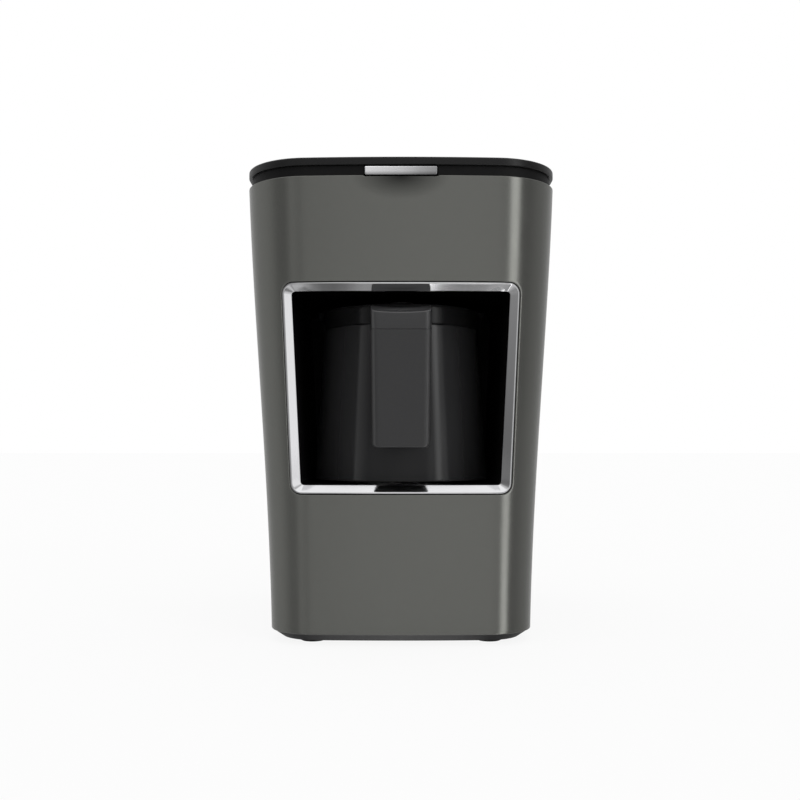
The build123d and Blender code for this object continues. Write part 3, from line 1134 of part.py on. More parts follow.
with BuildPart() as handle_cap:
    cap_low = HANDLE_PARTING + PARTING_GAP
    with BuildSketch(Plane.YZ.offset(-HANDLE_HALF_HIGH)) as cap_side:
        with BuildLine():
            Polyline((HANDLE_FRONT_Y, cap_low), (CAP_BACK_Y, cap_low), (CAP_BACK_Y, HANDLE_HIGH),
                     (HANDLE_FRONT_Y, HANDLE_HIGH - THUMB_DROP), close=True)
        make_face()
    extrude(amount=2 * HANDLE_HALF_HIGH)
    fillet(handle_cap.edges().filter_by(Axis.Z).group_by(Axis.Y)[0], HANDLE_SIDE_ROUND)
    block((-ARM_HALF, CAP_BACK_Y, cap_low), (ARM_HALF, ARM_INNER_Y, ARM_HIGH))
    clear_pot()
finish(handle_cap, "handle_cap")

with BuildPart() as handle_screws:
    for side in (-1, 1):
        screw((side * HANDLE_SCREW_X, HANDLE_SCREW_SEAT_Y, HANDLE_SCREW_Z), (0, -1, 0),
              *HANDLE_SCREW_HEAD, HANDLE_SCREW_SHAFT, HANDLE_SCREW_LENGTH)
finish(handle_screws, "handle_screws")
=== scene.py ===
"""Surfaces, finishes, floor, light and camera for the coffee maker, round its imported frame."""
import json
import math

import bmesh
import bpy
import numpy as np
from bpy.props import FloatProperty, FloatVectorProperty, PointerProperty
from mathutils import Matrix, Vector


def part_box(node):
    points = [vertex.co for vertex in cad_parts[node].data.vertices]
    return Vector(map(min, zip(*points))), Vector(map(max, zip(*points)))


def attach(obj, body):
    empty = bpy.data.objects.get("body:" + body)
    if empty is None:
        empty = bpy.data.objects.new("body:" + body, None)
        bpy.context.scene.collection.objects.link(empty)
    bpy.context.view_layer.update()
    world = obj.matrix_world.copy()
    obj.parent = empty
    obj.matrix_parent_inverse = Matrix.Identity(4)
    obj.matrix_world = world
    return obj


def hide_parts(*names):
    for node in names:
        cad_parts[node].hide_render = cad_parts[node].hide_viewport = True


bl_info = {
    "name": "Coffee maker dress",
    "version": (1, 0, 0),
    "blender": (4, 5, 0),
    "location": "View3D > Sidebar > Coffee maker",
    "description": "Adds the finished surfaces of an electric coffee maker to its construction",
    "category": "Mesh",
}

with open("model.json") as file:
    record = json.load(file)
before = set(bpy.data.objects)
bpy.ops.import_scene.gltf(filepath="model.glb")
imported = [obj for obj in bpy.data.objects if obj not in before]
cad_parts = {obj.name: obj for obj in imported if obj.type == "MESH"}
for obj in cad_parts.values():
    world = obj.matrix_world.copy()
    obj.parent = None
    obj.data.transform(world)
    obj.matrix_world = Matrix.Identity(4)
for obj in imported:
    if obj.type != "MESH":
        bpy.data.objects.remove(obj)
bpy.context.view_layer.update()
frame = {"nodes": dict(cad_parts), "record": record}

MM = 0.001


def cad_box(node):
    """Lowest and highest corner of a CAD node in millimetres."""
    low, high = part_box(node)
    return np.array(low) / MM, np.array(high) / MM


# ---------------------------------------------------------------- measures, millimetres
CASING_LOW, CASING_HIGH = (corner[2] for corner in cad_box("front_shell"))
HALF_TOP = cad_box("front_shell")[1][0]
HALF_BOTTOM = 71.1
FRONT_Y = cad_box("top_lid")[0][1]
REAR_Y = cad_box("rear_cover")[1][1]
WRAP_END_Y = 80.0
FRONT_LEAN = 5.0
TAPER_POWER = 1.116
TAPER_S_SHARE = 0.403
BOW = 800.0
CORNER_BOTTOM, CORNER_TOP = 25.5, 35.5
REAR_CORNER = 16.0
WALL = 2.2
BASE_HALF = cad_box("base_plate")[1][0]

LID_LOW, LID_HIGH = (corner[2] for corner in cad_box("top_lid"))
LID_LOWER_ROUND = 0.8
LID_UPPER_ROUND = 0.9

BEZEL_LOW, BEZEL_HIGH = 80.4, 191.0
BEZEL_HALF_LOW, BEZEL_HALF_HIGH = 58.16, 62.86
BEZEL_CORNER = 5.5
BEZEL_GAP = 0.5
BEZEL_BACK_Y = -88.0
OPENING_LOW, OPENING_HIGH = 85.0, 186.8
OPENING_HALF_LOW, OPENING_HALF_HIGH = 52.95, 57.66
OPENING_CORNER = 1.8
BEZEL_EDGE_ROUND = 0.35
SIDE_DEEPER = 0.45                    # the frame's upright chamfers are this much deeper
SIDE_DEEPER_FROM, SIDE_DEEPER_OVER = 44.0, 8.5
WINDOW_MIDDLE_Z = (BEZEL_LOW + BEZEL_HIGH) / 2
WINDOW_BLOCK_LOW, WINDOW_BLOCK_HIGH = 66.0, 206.0

BUTTON_LOW, BUTTON_HIGH = cad_box("start_button")
NOTCH_HALF = BUTTON_HIGH[0] + 0.65
NOTCH_LOW = BUTTON_LOW[2] - 0.5
BAR_TOP_GAP = 0.18
BAR_TOP_ROUND = 0.7
BAR_CHAMFER = 1.35
SHADE_HALF, SHADE_DROP = 26.0, 12.6   # reach of the soft shade under the bar, to the side and down
SHADE_DEEPEST = 0.07

POT_Y = -33.0
SLEEVE_LOW, SLEEVE_HIGH = (corner[2] for corner in cad_box("pot_body"))
SLEEVE_RADIUS_LOW, SLEEVE_RADIUS_HIGH = 50.3, 45.1
SLEEVE_WALL = 2.2
SLEEVE_LIP = 4.1
SLEEVE_FLOOR = 1.4
SLEEVE_FOOT_ROUND = 0.5
SLEEVE_TOP_EDGE = 0.2
COLLAR_LOW, RIM_HIGH = (corner[2] for corner in cad_box("pot_collar"))
CUP_LOW, CUP_HIGH = (corner[2] for corner in cad_box("pot_liner"))
CUP_GAP = 2.5
CUP_WALL = 1.0
CUP_FLOOR = 1.2
CUP_FOOT_CHAMFER = 1.5
CUP_FLOOR_ROUND = 4.0
RIM_ROUND = 0.75
SPOUT_X = 42.25
SPOUT_ROOT_RADIUS, SPOUT_TOP_RADIUS = 1.5, 7.2
SPOUT_WALL = 1.6
SPOUT_SOFTNESS = 0.35

HANDLE_LOW, HANDLE_PARTING = (corner[2] for corner in cad_box("pot_handle"))
HANDLE_HIGH = cad_box("handle_cap")[1][2]
HANDLE_FRONT_Y = cad_box("pot_handle")[0][1]
HANDLE_BACK_Y = HANDLE_FRONT_Y + 4.6
CAP_BACK_Y = HANDLE_FRONT_Y + 7.5
HANDLE_HALF_LOW, HANDLE_HALF_HIGH = 15.3, 16.0
HANDLE_CORNER = 2.2
PARTING_GAP = 0.1
CAP_TOP_ROUND = 0.55
THUMB_DROP = 3.7
ARM_HALF = 8.0
ARM_LOW, ARM_HIGH = 156.0, 176.0
ARM_CORNER = 0.6
SUNK = 0.4                            # how far the arm's ends lie inside what they join

MERGE_REACH = 0.002                   # points closer than this become one
SMALLEST_EDGE = 0.0001                # shorter edges are dissolved
FAR_AWAY = 1e6                        # a reach so wide that depth has no part in the shade

# Values of the finishes, without a unit.
NOISE_LOW, NOISE_HIGH = 0.3, 0.7      # most of a noise lies between these
# FACE_ON and TILTED set where the chrome's painted reflection sets in and where it is full.
FACE_ON, TILTED = 0.16, 0.26          # part of the normal where a tone sets in and where it is full
SIDE_FROM, SIDE_FULL = 0.6, 0.9       # the same for the gloss of surfaces that face left or right
SHEEN_FROM, SHEEN_FULL = 0.08, 0.16   # turn away from the eye where the sheen sets in and is full


# ---------------------------------------------------------------- settings
class CoffeeCasingSettings(bpy.types.PropertyGroup):
    """Small measures of the casing's edges."""
    edge_round: FloatProperty(name="Edge round", description="Rounding of the painted wrap's edges",
                              default=0.45 * MM, min=0.0, unit="LENGTH")
    chamfer_depth: FloatProperty(name="Chamfer depth", description="Depth of the chrome frame's chamfer",
                                 default=3.9 * MM, min=0.001, unit="LENGTH")
    frame_rim: FloatProperty(name="Frame rim", description="Flat edge round the chrome frame",
                             default=0.45 * MM, min=0.0, unit="LENGTH")


class CoffeePotSettings(bpy.types.PropertyGroup):
    """Small measures of the pot and its handle."""
    thumb_dish: FloatProperty(name="Thumb dish", description="Hollow in the thumb rest",
                              default=0.9 * MM, min=0.0, unit="LENGTH")
    handle_round: FloatProperty(name="Handle round", description="Rounding of the handle's front edges",
                                default=3.8 * MM, min=0.001, unit="LENGTH")
    handle_edge: FloatProperty(name="Handle edge", description="Rounding of the handle's other edges",
                               default=0.7 * MM, min=0.0001, unit="LENGTH")


class CoffeeFinishSettings(bpy.types.PropertyGroup):
    """Colours of the finishes that are seen."""
    paint: FloatVectorProperty(name="Paint", description="Satin metallic paint of the wrap",
                               default=(0.153, 0.155, 0.144), size=3, min=0, max=1, subtype="COLOR")
    black: FloatVectorProperty(name="Black plastic", description="Head, base and back",
                               default=(0.021, 0.021, 0.022), size=3, min=0, max=1, subtype="COLOR")
    chrome: FloatVectorProperty(name="Chrome", description="Frame round the chamber",
                                default=(0.62, 0.62, 0.63), size=3, min=0, max=1, subtype="COLOR")
    handle: FloatVectorProperty(name="Handle", description="Handle of the pot",
                                default=(0.0215, 0.0215, 0.0225), size=3, min=0, max=1, subtype="COLOR")


class CoffeeStudioSettings(bpy.types.PropertyGroup):
    """Camera and light."""
    eye_height: FloatProperty(name="Eye height", description="Height of the camera above the table",
                              default=0.1084, unit="LENGTH")
    distance: FloatProperty(name="Distance", description="Camera to the object's front",
                            default=0.52, unit="LENGTH")
    lens: FloatProperty(name="Lens", description="Focal length of the camera, millimetres",
                        default=45.0, min=1.0)
    surround: FloatProperty(name="Surround", description="Strength of the room's light",
                            default=1.0, min=0.0)


# ---------------------------------------------------------------- shapes of the casing
def mix(low, high, share):
    """Value or points at a share of the way from low to high."""
    return low + (high - low) * share


def taper(z):
    """Share of the widening at height z: a mix of a power of the rise and a smooth step of it."""
    rise = np.clip((z - CASING_LOW) / (CASING_HIGH - CASING_LOW), 0.0, 1.0) ** TAPER_POWER
    return (1 - TAPER_S_SHARE) * rise + TAPER_S_SHARE * (3 * rise ** 2 - 2 * rise ** 3)


def casing_measures(z, inset=0.0):
    """Half width, front, bow radius, corner radius, corner centre and join angle at height z."""
    share = taper(z)
    half = mix(HALF_BOTTOM, HALF_TOP, share) - inset
    front = FRONT_Y + FRONT_LEAN * (1 - share) + inset
    bow = BOW - inset
    corner = mix(CORNER_BOTTOM, CORNER_TOP, share) - inset
    corner_x = half - corner
    corner_y = front + bow - np.sqrt((bow - corner) ** 2 - corner_x ** 2)
    join = np.arcsin(corner_x / (bow - corner))
    return half, front, bow, corner, corner_x, corner_y, join


def casing_outline(s, z, inset=0.0, side_end=None):
    """Plan outline at height z: x and y for s from -5 to 5.

    |s| from 0 to 1 runs along the front bow, x = bow sin(a), y = front + bow (1 - cos(a)); 1 to 2
    round the front corner; 2 to 3 straight along the side; 3 to 4 round the rear corner; 4 to 5
    along the rear to its middle. Negative s is the left half.
    """
    half, front, bow, corner, corner_x, corner_y, join = casing_measures(z, inset)
    rear, rear_corner = REAR_Y - inset, REAR_CORNER - inset
    straight_end = rear - rear_corner if side_end is None else side_end
    run = np.abs(s)
    bow_angle = np.clip(run, 0, 1) * join
    corner_angle = join + np.clip(run - 1, 0, 1) * (np.pi / 2 - join)
    rear_angle = np.clip(run - 3, 0, 1) * np.pi / 2
    x = np.select(
        [run <= 1, run <= 2, run <= 3, run <= 4],
        [bow * np.sin(bow_angle), corner_x + corner * np.sin(corner_angle), half + 0 * run,
         half - rear_corner + rear_corner * np.cos(rear_angle)],
        (half - rear_corner) * (5 - run))
    y = np.select(
        [run <= 1, run <= 2, run <= 3, run <= 4],
        [front + bow * (1 - np.cos(bow_angle)), corner_y - corner * np.cos(corner_angle),
         mix(corner_y, straight_end, np.clip(run - 2, 0, 1)),
         rear - rear_corner + rear_corner * np.sin(rear_angle)],
        rear + 0 * run)
    return x * np.sign(s), y


def casing_front(x, z):
    """y of the front surface at x, z: a circular bow that runs on into the corner's circle."""
    _, front, bow, corner, corner_x, corner_y, join = casing_measures(z)
    across = np.abs(x)
    bowed = front + bow - np.sqrt(bow ** 2 - across ** 2)
    rounded = corner_y - np.sqrt(np.maximum(corner ** 2 - (across - corner_x) ** 2, 0.0))
    return np.where(across <= bow * np.sin(join), bowed, rounded)


def frame_loop(low, high, half_low, half_high, radius_low, radius_high, along, round_steps):
    """Rounded trapezoid as points (across, up), counter-clockwise from its lower right corner.

    Each corner is an arc tangent to its two edges; between arcs the edges are divided evenly.
    """
    corners = np.array([(half_low, low), (half_high, high), (-half_high, high), (-half_low, low)])
    radii = (radius_low, radius_high, radius_high, radius_low)
    arcs = []
    for index in range(4):
        here = corners[index]
        into = here - corners[index - 1]
        out = corners[(index + 1) % 4] - here
        into, out = into / np.linalg.norm(into), out / np.linalg.norm(out)
        turn = math.acos(float(np.clip(np.dot(into, out), -1, 1)))
        start = here - into * radii[index] * math.tan(turn / 2)
        centre = start + np.array((-into[1], into[0])) * radii[index]
        swing = np.linspace(0, turn, round_steps)
        arm = start - centre
        arcs.append(centre + np.stack((arm[0] * np.cos(swing) - arm[1] * np.sin(swing),
                                       arm[0] * np.sin(swing) + arm[1] * np.cos(swing)), axis=1))
    pieces = []
    for index in range(4):
        share = np.linspace(0, 1, along)[1:-1, None]
        pieces.append(arcs[index])
        pieces.append(mix(arcs[index][-1], arcs[(index + 1) % 4][0], share))
    return np.concatenate(pieces)


# ---------------------------------------------------------------- meshes
def points_at(x, y, z):
    """Points of a ring or a grid from their x, y and z, where one number may stand for many."""
    return np.stack(np.broadcast_arrays(x, y, z), axis=-1)


def sheet_faces(rows, columns, wrap_rows=False, wrap_columns=False):
    """Quads of a grid of rows by columns, joined end to end where it wraps."""
    row = np.arange(rows if wrap_rows else rows - 1)[:, None]
    column = np.arange(columns if wrap_columns else columns - 1)[None, :]
    next_row, next_column = (row + 1) % rows, (column + 1) % columns
    quads = np.stack((row * columns + column, row * columns + next_column,
                      next_row * columns + next_column, next_row * columns + column), axis=-1)
    return quads.reshape(-1, 4)


def mesh_piece(name, patches, body):
    """Object from patches of (points in millimetres, faces), merged where they meet.

    It rides on a body and has its faces pointing outwards.
    """
    points, faces, start = [], [], 0
    for patch_points, patch_faces in patches:
        flat = np.asarray(patch_points, dtype=float).reshape(-1, 3)
        points.append(flat)
        faces.extend([[int(corner) + start for corner in face] for face in patch_faces])
        start += len(flat)
    mesh = bpy.data.meshes.new(name)
    mesh.from_pydata(np.concatenate(points) * MM, [], faces)
    shape = bmesh.new()
    shape.from_mesh(mesh)
    bmesh.ops.remove_doubles(shape, verts=shape.verts, dist=MERGE_REACH * MM)
    bmesh.ops.dissolve_degenerate(shape, edges=shape.edges, dist=SMALLEST_EDGE * MM)
    bmesh.ops.recalc_face_normals(shape, faces=shape.faces)
    shape.to_mesh(mesh)
    shape.free()
    mesh.polygons.foreach_set("use_smooth", np.ones(len(mesh.polygons), dtype=bool))
    mesh.update()
    piece = bpy.data.objects.new(name, mesh)
    bpy.context.scene.collection.objects.link(piece)
    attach(piece, body)
    return piece


def ring_stack(rings):
    """Closed skin over rings of equally many points: quads between them, flat caps at the ends."""
    rings = np.asarray(rings, dtype=float)
    count, around = rings.shape[:2]
    faces = sheet_faces(count, around, wrap_columns=True).tolist()
    faces.append(list(range(around))[::-1])
    faces.append(list(range((count - 1) * around, count * around)))
    return rings, faces


def turned(profile, closed=True):
    """Surface of revolution about the pot's axis: (r, z) becomes (r cos t, POT_Y + r sin t, z)."""
    radius, height = np.array(profile, dtype=float).T[..., None]
    angle = np.linspace(0, 2 * np.pi, 192, endpoint=False)
    rings = points_at(radius * np.cos(angle), POT_Y + radius * np.sin(angle), height)
    return rings, sheet_faces(len(radius), len(angle), wrap_rows=closed, wrap_columns=True)


def arc(centre, radius, start, end, steps=5):
    """Points of an arc about a centre from a start to an end angle, in degrees."""
    angle = np.radians(np.linspace(start, end, steps))
    return [(centre[0] + radius * math.cos(a), centre[1] + radius * math.sin(a)) for a in angle]


def thicken(piece, thickness, edge):
    """Gives a sheet its wall, inwards from its face, and rounds the edges of the wall."""
    wall = piece.modifiers.new("wall", "SOLIDIFY")
    wall.thickness = thickness
    wall.offset = -1.0
    wall.use_even_offset = True
    bevel = piece.modifiers.new("edges", "BEVEL")
    bevel.width = edge
    bevel.segments = 3
    bevel.limit_method = "ANGLE"
    bevel.angle_limit = math.radians(40)
    bevel.use_clamp_overlap = False


# ---------------------------------------------------------------- finishes
class Nodes:
    """A node tree, with the few steps that the finishes and the light are built from."""

    def __init__(self, tree):
        self.tree = tree

    def feed(self, socket, value):
        """Gives an input its value, or links it to the output that feeds it."""
        if isinstance(value, bpy.types.NodeSocket):
            self.tree.links.new(value, socket)
        else:
            socket.default_value = value

    def node(self, kind, inputs=None, **settings):
        """New node with its settings and, for each named input, a value or the output that feeds it."""
        made = self.tree.nodes.new("ShaderNode" + kind)
        for name, value in settings.items():
            setattr(made, name, value)
        for name, value in (inputs or {}).items():
            self.feed(made.inputs[name], value)
        return made

    def maths(self, operation, *values):
        """Result of a calculation with one or two numbers."""
        return self.node("Math", dict(enumerate(values)), operation=operation).outputs[0]

    def part(self, vector, axis):
        """One of a vector's three numbers."""
        return self.node("SeparateXYZ", {0: vector}).outputs[axis]

    def span(self, value, start, end, low=0.0, high=1.0, **settings):
        """Number that runs from low to high while a value runs from start to end, and stays there."""
        inputs = {"Value": value, "From Min": start, "From Max": end, "To Min": low, "To Max": high}
        return self.node("MapRange", inputs, **settings).outputs["Result"]

    def either(self, share, plain, other):
        """Shader that goes from a plain one to another one as a share grows."""
        return self.node("MixShader", {0: share, 1: plain, 2: other}).outputs[0]


class Finish(Nodes):
    """One material: its shader with the helpers that give it grain, streaks and relief."""

    def __init__(self, name, colour, roughness, metallic=0.0, **sockets):
        self.material = bpy.data.materials.new(name)
        self.material.use_nodes = True
        super().__init__(self.material.node_tree)
        self.shader = self.tree.nodes["Principled BSDF"]
        self.drive((*colour, 1.0), "Base Color")
        self.drive(roughness, "Roughness")
        self.drive(metallic, "Metallic")
        for socket, value in sockets.items():
            self.drive(value, socket.replace("_", " "))
        self.place = self.node("TexCoord").outputs["Object"]

    def drive(self, value, socket):
        """Sets a shader input, or feeds it from a texture's value as it is."""
        self.feed(self.shader.inputs[socket], value)

    def facing(self):
        """Direction in which the surface faces."""
        return self.node("NewGeometry").outputs["Normal"]

    def stretched(self, scale):
        """Object coordinates with each axis scaled, for streaks along the axis of least scale."""
        return self.node("Mapping", {"Vector": self.place, "Scale": scale}).outputs["Vector"]

    def noise(self, scale, detail=3.0, place=None):
        """Value of a noise with a cell of about 1 / scale metres."""
        inputs = {"Vector": place or self.place, "Scale": scale, "Detail": detail}
        return self.node("TexNoise", inputs).outputs["Fac"]

    def flakes(self, scale):
        """Random value for each cell of a fine pattern of cells."""
        return self.node("TexVoronoi", {"Vector": self.place, "Scale": scale}).outputs["Color"]

    def ramp(self, axis, stops, along=None):
        """Number that runs in straight lines through (place along an axis, value) stops.

        The place is one of the three numbers of the object coordinates or of another vector.
        """
        start, end = stops[0][0], stops[-1][0]
        here = self.part(along or self.place, axis)
        curve = self.node("FloatCurve", {"Value": self.span(here, start, end)})
        curve.mapping.use_clip = False
        points = curve.mapping.curves[0].points
        while len(points) < len(stops):
            points.new(0.5, 1.0)
        for point, (place, value) in zip(points, stops):
            point.location = ((place - start) / (end - start), value)
            point.handle_type = "VECTOR"
        curve.mapping.update()
        return curve.outputs["Value"]

    def uneven(self, value, low, high):
        """Lets the roughness run from low to high as a noise does, over most of its values."""
        self.drive(self.span(value, NOISE_LOW, NOISE_HIGH, low, high), "Roughness")

    def relief(self, value, depth, strength):
        """Bump of a depth in millimetres from a texture's value."""
        bump = self.node("Bump", {"Height": value, "Strength": strength, "Distance": depth * MM})
        self.drive(bump.outputs["Normal"], "Normal")

    def spark_grain(self, low, high):
        """Fine even grain of a spark-eroded tool, with a roughness between low and high."""
        self.uneven(self.noise(900), low, high)
        self.relief(self.noise(2400, 2.0), 0.03, 0.5)

    def brushing(self, scale, detail, low, high, depth, strength):
        """Fine lines along the axes of least scale, in the roughness and as relief."""
        streaks = self.noise(1.0, detail, self.stretched(scale))
        self.uneven(streaks, low, high)
        self.relief(streaks, depth, strength)

    def tint(self, value, colour, other):
        """Lets the base colour run between two colours as a texture's value does."""
        ends = {"Factor": value, "A": (*colour, 1.0), "B": (*other, 1.0)}
        self.drive(self.node("Mix", ends, data_type="RGBA").outputs["Result"], "Base Color")

    def darken(self, *shares):
        """Multiplies the base colour by shares."""
        base = self.shader.inputs["Base Color"]
        for share in shares:
            colour = base.links[0].from_socket if base.links else base.default_value[:3]
            darker = self.node("VectorMath", {0: colour, "Scale": share}, operation="SCALE")
            self.feed(base, darker.outputs["Vector"])

    def shade_under_bar(self):
        """Darkens the base colour under the push bar.

        The share of the colour grows in a straight line with sqrt((x / w)^2 + (drop / h)^2), where
        drop is the depth below the bar's lower edge; it is full where that root reaches 1.
        """
        spread = {"Vector": self.place, "Location": (0.0, 0.0, BUTTON_LOW[2] * MM),
                  "Scale": (SHADE_HALF * MM, FAR_AWAY * MM, SHADE_DROP * MM)}
        place = self.node("Mapping", spread, vector_type="TEXTURE").outputs["Vector"]
        reach = self.node("VectorMath", {0: place}, operation="LENGTH").outputs["Value"]
        self.darken(self.span(reach, 0.0, 1.0, SHADE_DEEPEST, 1.0))

    def gloss_on_sides(self, elsewhere, sides):
        """Gives the surface another gloss where it faces left or right."""
        sideways = self.maths("ABSOLUTE", self.part(self.facing(), "X"))
        self.drive(self.span(sideways, SIDE_FROM, SIDE_FULL, elsewhere, sides), "Specular IOR Level")

    def sheen_rise(self, facing, turned_away):
        """Lets the gloss grow as the surface turns away from the eye."""
        turn = self.node("LayerWeight", {"Blend": 0.5}).outputs["Facing"]
        self.drive(self.span(turn, SHEEN_FROM, SHEEN_FULL, facing, turned_away), "Specular IOR Level")


def scaled(colour, factor):
    """Colour made brighter or darker by a factor."""
    return tuple(min(1.0, channel * factor) for channel in colour)


def satin_paint(settings):
    """Metallic paint: fine bright flakes under a satin top coat with a faint orange peel."""
    finish = Finish("satin metallic paint", settings.paint, 0.23, metallic=0.85)
    finish.tint(finish.flakes(2600), scaled(settings.paint, 0.93), scaled(settings.paint, 1.07))
    finish.shade_under_bar()
    finish.uneven(finish.noise(60), 0.205, 0.235)
    finish.relief(finish.noise(420), 0.004, 0.25)
    return finish.material


def black_plastic(settings):
    """Moulded plastic with the fine even grain of a spark-eroded tool."""
    finish = Finish("grained black plastic", settings.black, 0.42)
    finish.spark_grain(0.38, 0.47)
    return finish.material


def base_plastic(settings):
    """Base: black plastic with a painted sheen, strongest in the middle of its front."""
    finish = Finish("grained black base", scaled(settings.black, 0.5), 0.42)
    finish.spark_grain(0.38, 0.47)
    half = BASE_HALF * MM
    # Painted sheen: the gloss follows x and is strongest in the middle of the front.
    finish.drive(finish.ramp("X", [(-half, 0.06), (-0.72 * half, 0.08), (-0.5 * half, 0.36), (0.0, 0.76),
                                   (0.4 * half, 0.5), (0.66 * half, 0.08), (half, 0.05)]),
                 "Specular IOR Level")
    return finish.material


def lid_plastic(settings):
    """Head plate: smoother black plastic that carries a soft sheen."""
    finish = Finish("satin black lid", scaled(settings.black, 0.3), 0.33, Specular_IOR_Level=0.28)
    finish.uneven(finish.noise(500), 0.3, 0.37)
    finish.relief(finish.noise(1500, 2.0), 0.012, 0.4)
    return finish.material


def neck_plastic(settings):
    """Recessed head: black plastic of a deep matt grain."""
    finish = Finish("matt black neck", scaled(settings.black, 0.2), 0.5, Specular_IOR_Level=0.15)
    finish.spark_grain(0.45, 0.6)
    return finish.material


def liner_plastic():
    """Matt heat-proof lining of the chamber."""
    finish = Finish("black lining", (0.004, 0.004, 0.004), 0.4)
    finish.uneven(finish.noise(300), 0.36, 0.44)
    finish.gloss_on_sides(0.05, 0.6)
    finish.relief(finish.noise(1800, 2.0), 0.03, 0.4)
    return finish.material


def bright_chrome(settings):
    """Polished plating with the slightest unevenness in its gloss.

    It carries a painted reflection: its colour is deeper where it faces sideways, and along the left half
    of what faces down.
    """
    finish = Finish("bright chrome", settings.chrome, 0.06, metallic=1.0)
    facing = finish.facing()
    # Painted reflection: the colour is deeper where the chamfers face sideways, most on the left bar.
    sideways = finish.ramp("X", [(-1.0, 0.6), (-TILTED, 0.6), (-FACE_ON, 1.0), (FACE_ON, 1.0),
                                 (TILTED, 0.45), (1.0, 0.45)], facing)
    # Painted reflection: along the left half of what faces down, the colour is deeper.
    along = finish.ramp("X", [(MM * x, share) for x, share in (
        (-57, 1.0), (-52.3, 0.9), (-46, 0.45), (-41, 0.35), (-35, 0.35), (-29, 0.5), (-22, 0.9), (-19, 1.0),
        (57, 1.0))])
    downwards = finish.ramp("Z", [(-1.0, 1.0), (-TILTED, 1.0), (-FACE_ON, 0.0), (1.0, 0.0)], facing)
    under = finish.node("Mix", {"Factor": downwards, "A": 1.0, "B": along})
    finish.darken(sideways, under.outputs["Result"])
    finish.uneven(finish.noise(40), 0.05, 0.09)
    finish.relief(finish.noise(90, 1.0), 0.006, 0.15)
    return finish.material


def satin_chrome(settings):
    """Push bar: plating brushed along its length, with painted reflection deeper to the right and painted
    shade on its chamfer.
    """
    finish = Finish("brushed chrome", scaled(settings.chrome, 0.95), 0.26, metallic=1.0)
    finish.brushing((60, 5000, 5000), 4.0, 0.2, 0.32, 0.004, 0.4)
    half = BUTTON_HIGH[0] * MM
    # Painted reflection: the colour runs from lighter at the left end to deeper at the right.
    along = finish.ramp("X", [(-half, 1.5), (0.0, 1.15), (0.26 * half, 0.99), (0.54 * half, 0.76),
                              (0.76 * half, 0.67), (half, 0.58)])
    low, chamfer = BUTTON_LOW[2] * MM, BAR_CHAMFER * MM
    # Painted shade: the colour is deeper on the lower chamfer.
    above = finish.ramp("Z", [(low, 0.35), (low + chamfer, 0.85), (low + 1.5 * chamfer, 1.0)])
    finish.darken(along, above)
    return finish.material


def pot_gloss():
    """Glossy black plastic of the pot: it mirrors more where it turns away."""
    finish = Finish("glossy black pot", (0.03, 0.03, 0.031), 0.16)
    finish.uneven(finish.noise(35), 0.14, 0.18)
    finish.sheen_rise(0.06, 0.85)
    finish.relief(finish.noise(240, 1.0), 0.006, 0.2)
    return finish.material


def collar_gloss():
    """Pot's upper ring: the same plastic, with a deeper copy of the sleeve's colour as painted shade and a
    calmer gloss.
    """
    # Painted shade: a darker copy of the sleeve's black.
    finish = Finish("glossy black ring", (0.012, 0.012, 0.0125), 0.18)
    finish.sheen_rise(0.04, 0.5)
    finish.relief(finish.noise(240, 1.0), 0.006, 0.2)
    return finish.material


def handle_plastic(settings):
    """Soft matt handle with a fine even grain."""
    finish = Finish("matt grey handle", settings.handle, 0.5)
    finish.sheen_rise(0.5, 1.0)
    finish.uneven(finish.noise(800), 0.46, 0.56)
    finish.relief(finish.noise(2600, 2.0), 0.02, 0.4)
    return finish.material


def cap_plastic(settings):
    """Thumb rest: the handle's plastic a little smoother, with a lighter copy of its colour as painted
    light.
    """
    # Painted light: a lighter copy of the handle's colour.
    finish = Finish("satin grey cap", scaled(settings.handle, 1.3), 0.38)
    finish.sheen_rise(0.5, 1.0)
    finish.uneven(finish.noise(700), 0.34, 0.42)
    finish.relief(finish.noise(2200, 2.0), 0.012, 0.35)
    return finish.material


def rubber():
    """Matt rubber with a slightly dusty, uneven surface."""
    finish = Finish("matt rubber", (0.028, 0.028, 0.028), 0.75, Specular_IOR_Level=0.3)
    finish.uneven(finish.noise(500), 0.68, 0.85)
    finish.relief(finish.noise(1600), 0.03, 0.5)
    return finish.material


def brushed_steel():
    """Drawn steel with fine lines along X."""
    finish = Finish("brushed steel", (0.56, 0.56, 0.55), 0.3, metallic=1.0)
    finish.brushing((80, 3000, 3000), 3.0, 0.24, 0.38, 0.004, 0.4)
    return finish.material


def turned_steel():
    """Inside of the pot: steel polished in rings about its axis."""
    finish = Finish("polished steel cup", (0.6, 0.59, 0.58), 0.2, metallic=1.0)
    finish.brushing((60, 60, 2600), 3.0, 0.15, 0.27, 0.003, 0.3)
    return finish.material


def zinc_plate():
    """Screws: bright zinc with cloudy patches."""
    finish = Finish("zinc plated steel", (0.58, 0.58, 0.56), 0.35, metallic=1.0)
    finish.tint(finish.noise(700), (0.52, 0.52, 0.5), (0.66, 0.66, 0.65))
    finish.uneven(finish.noise(1200), 0.28, 0.45)
    return finish.material


def cast_aluminium():
    """Heating plate: aluminium with fine lines along Y."""
    finish = Finish("turned aluminium", (0.62, 0.62, 0.63), 0.35, metallic=1.0)
    finish.uneven(finish.noise(1.0, 3.0, finish.stretched((1800, 60, 1800))), 0.28, 0.42)
    return finish.material


def circuit_board():
    """Green solder mask, uneven in tone."""
    finish = Finish("solder mask", (0.02, 0.13, 0.05), 0.35)
    finish.tint(finish.noise(260, 1.0), (0.015, 0.1, 0.04), (0.03, 0.18, 0.07))
    return finish.material


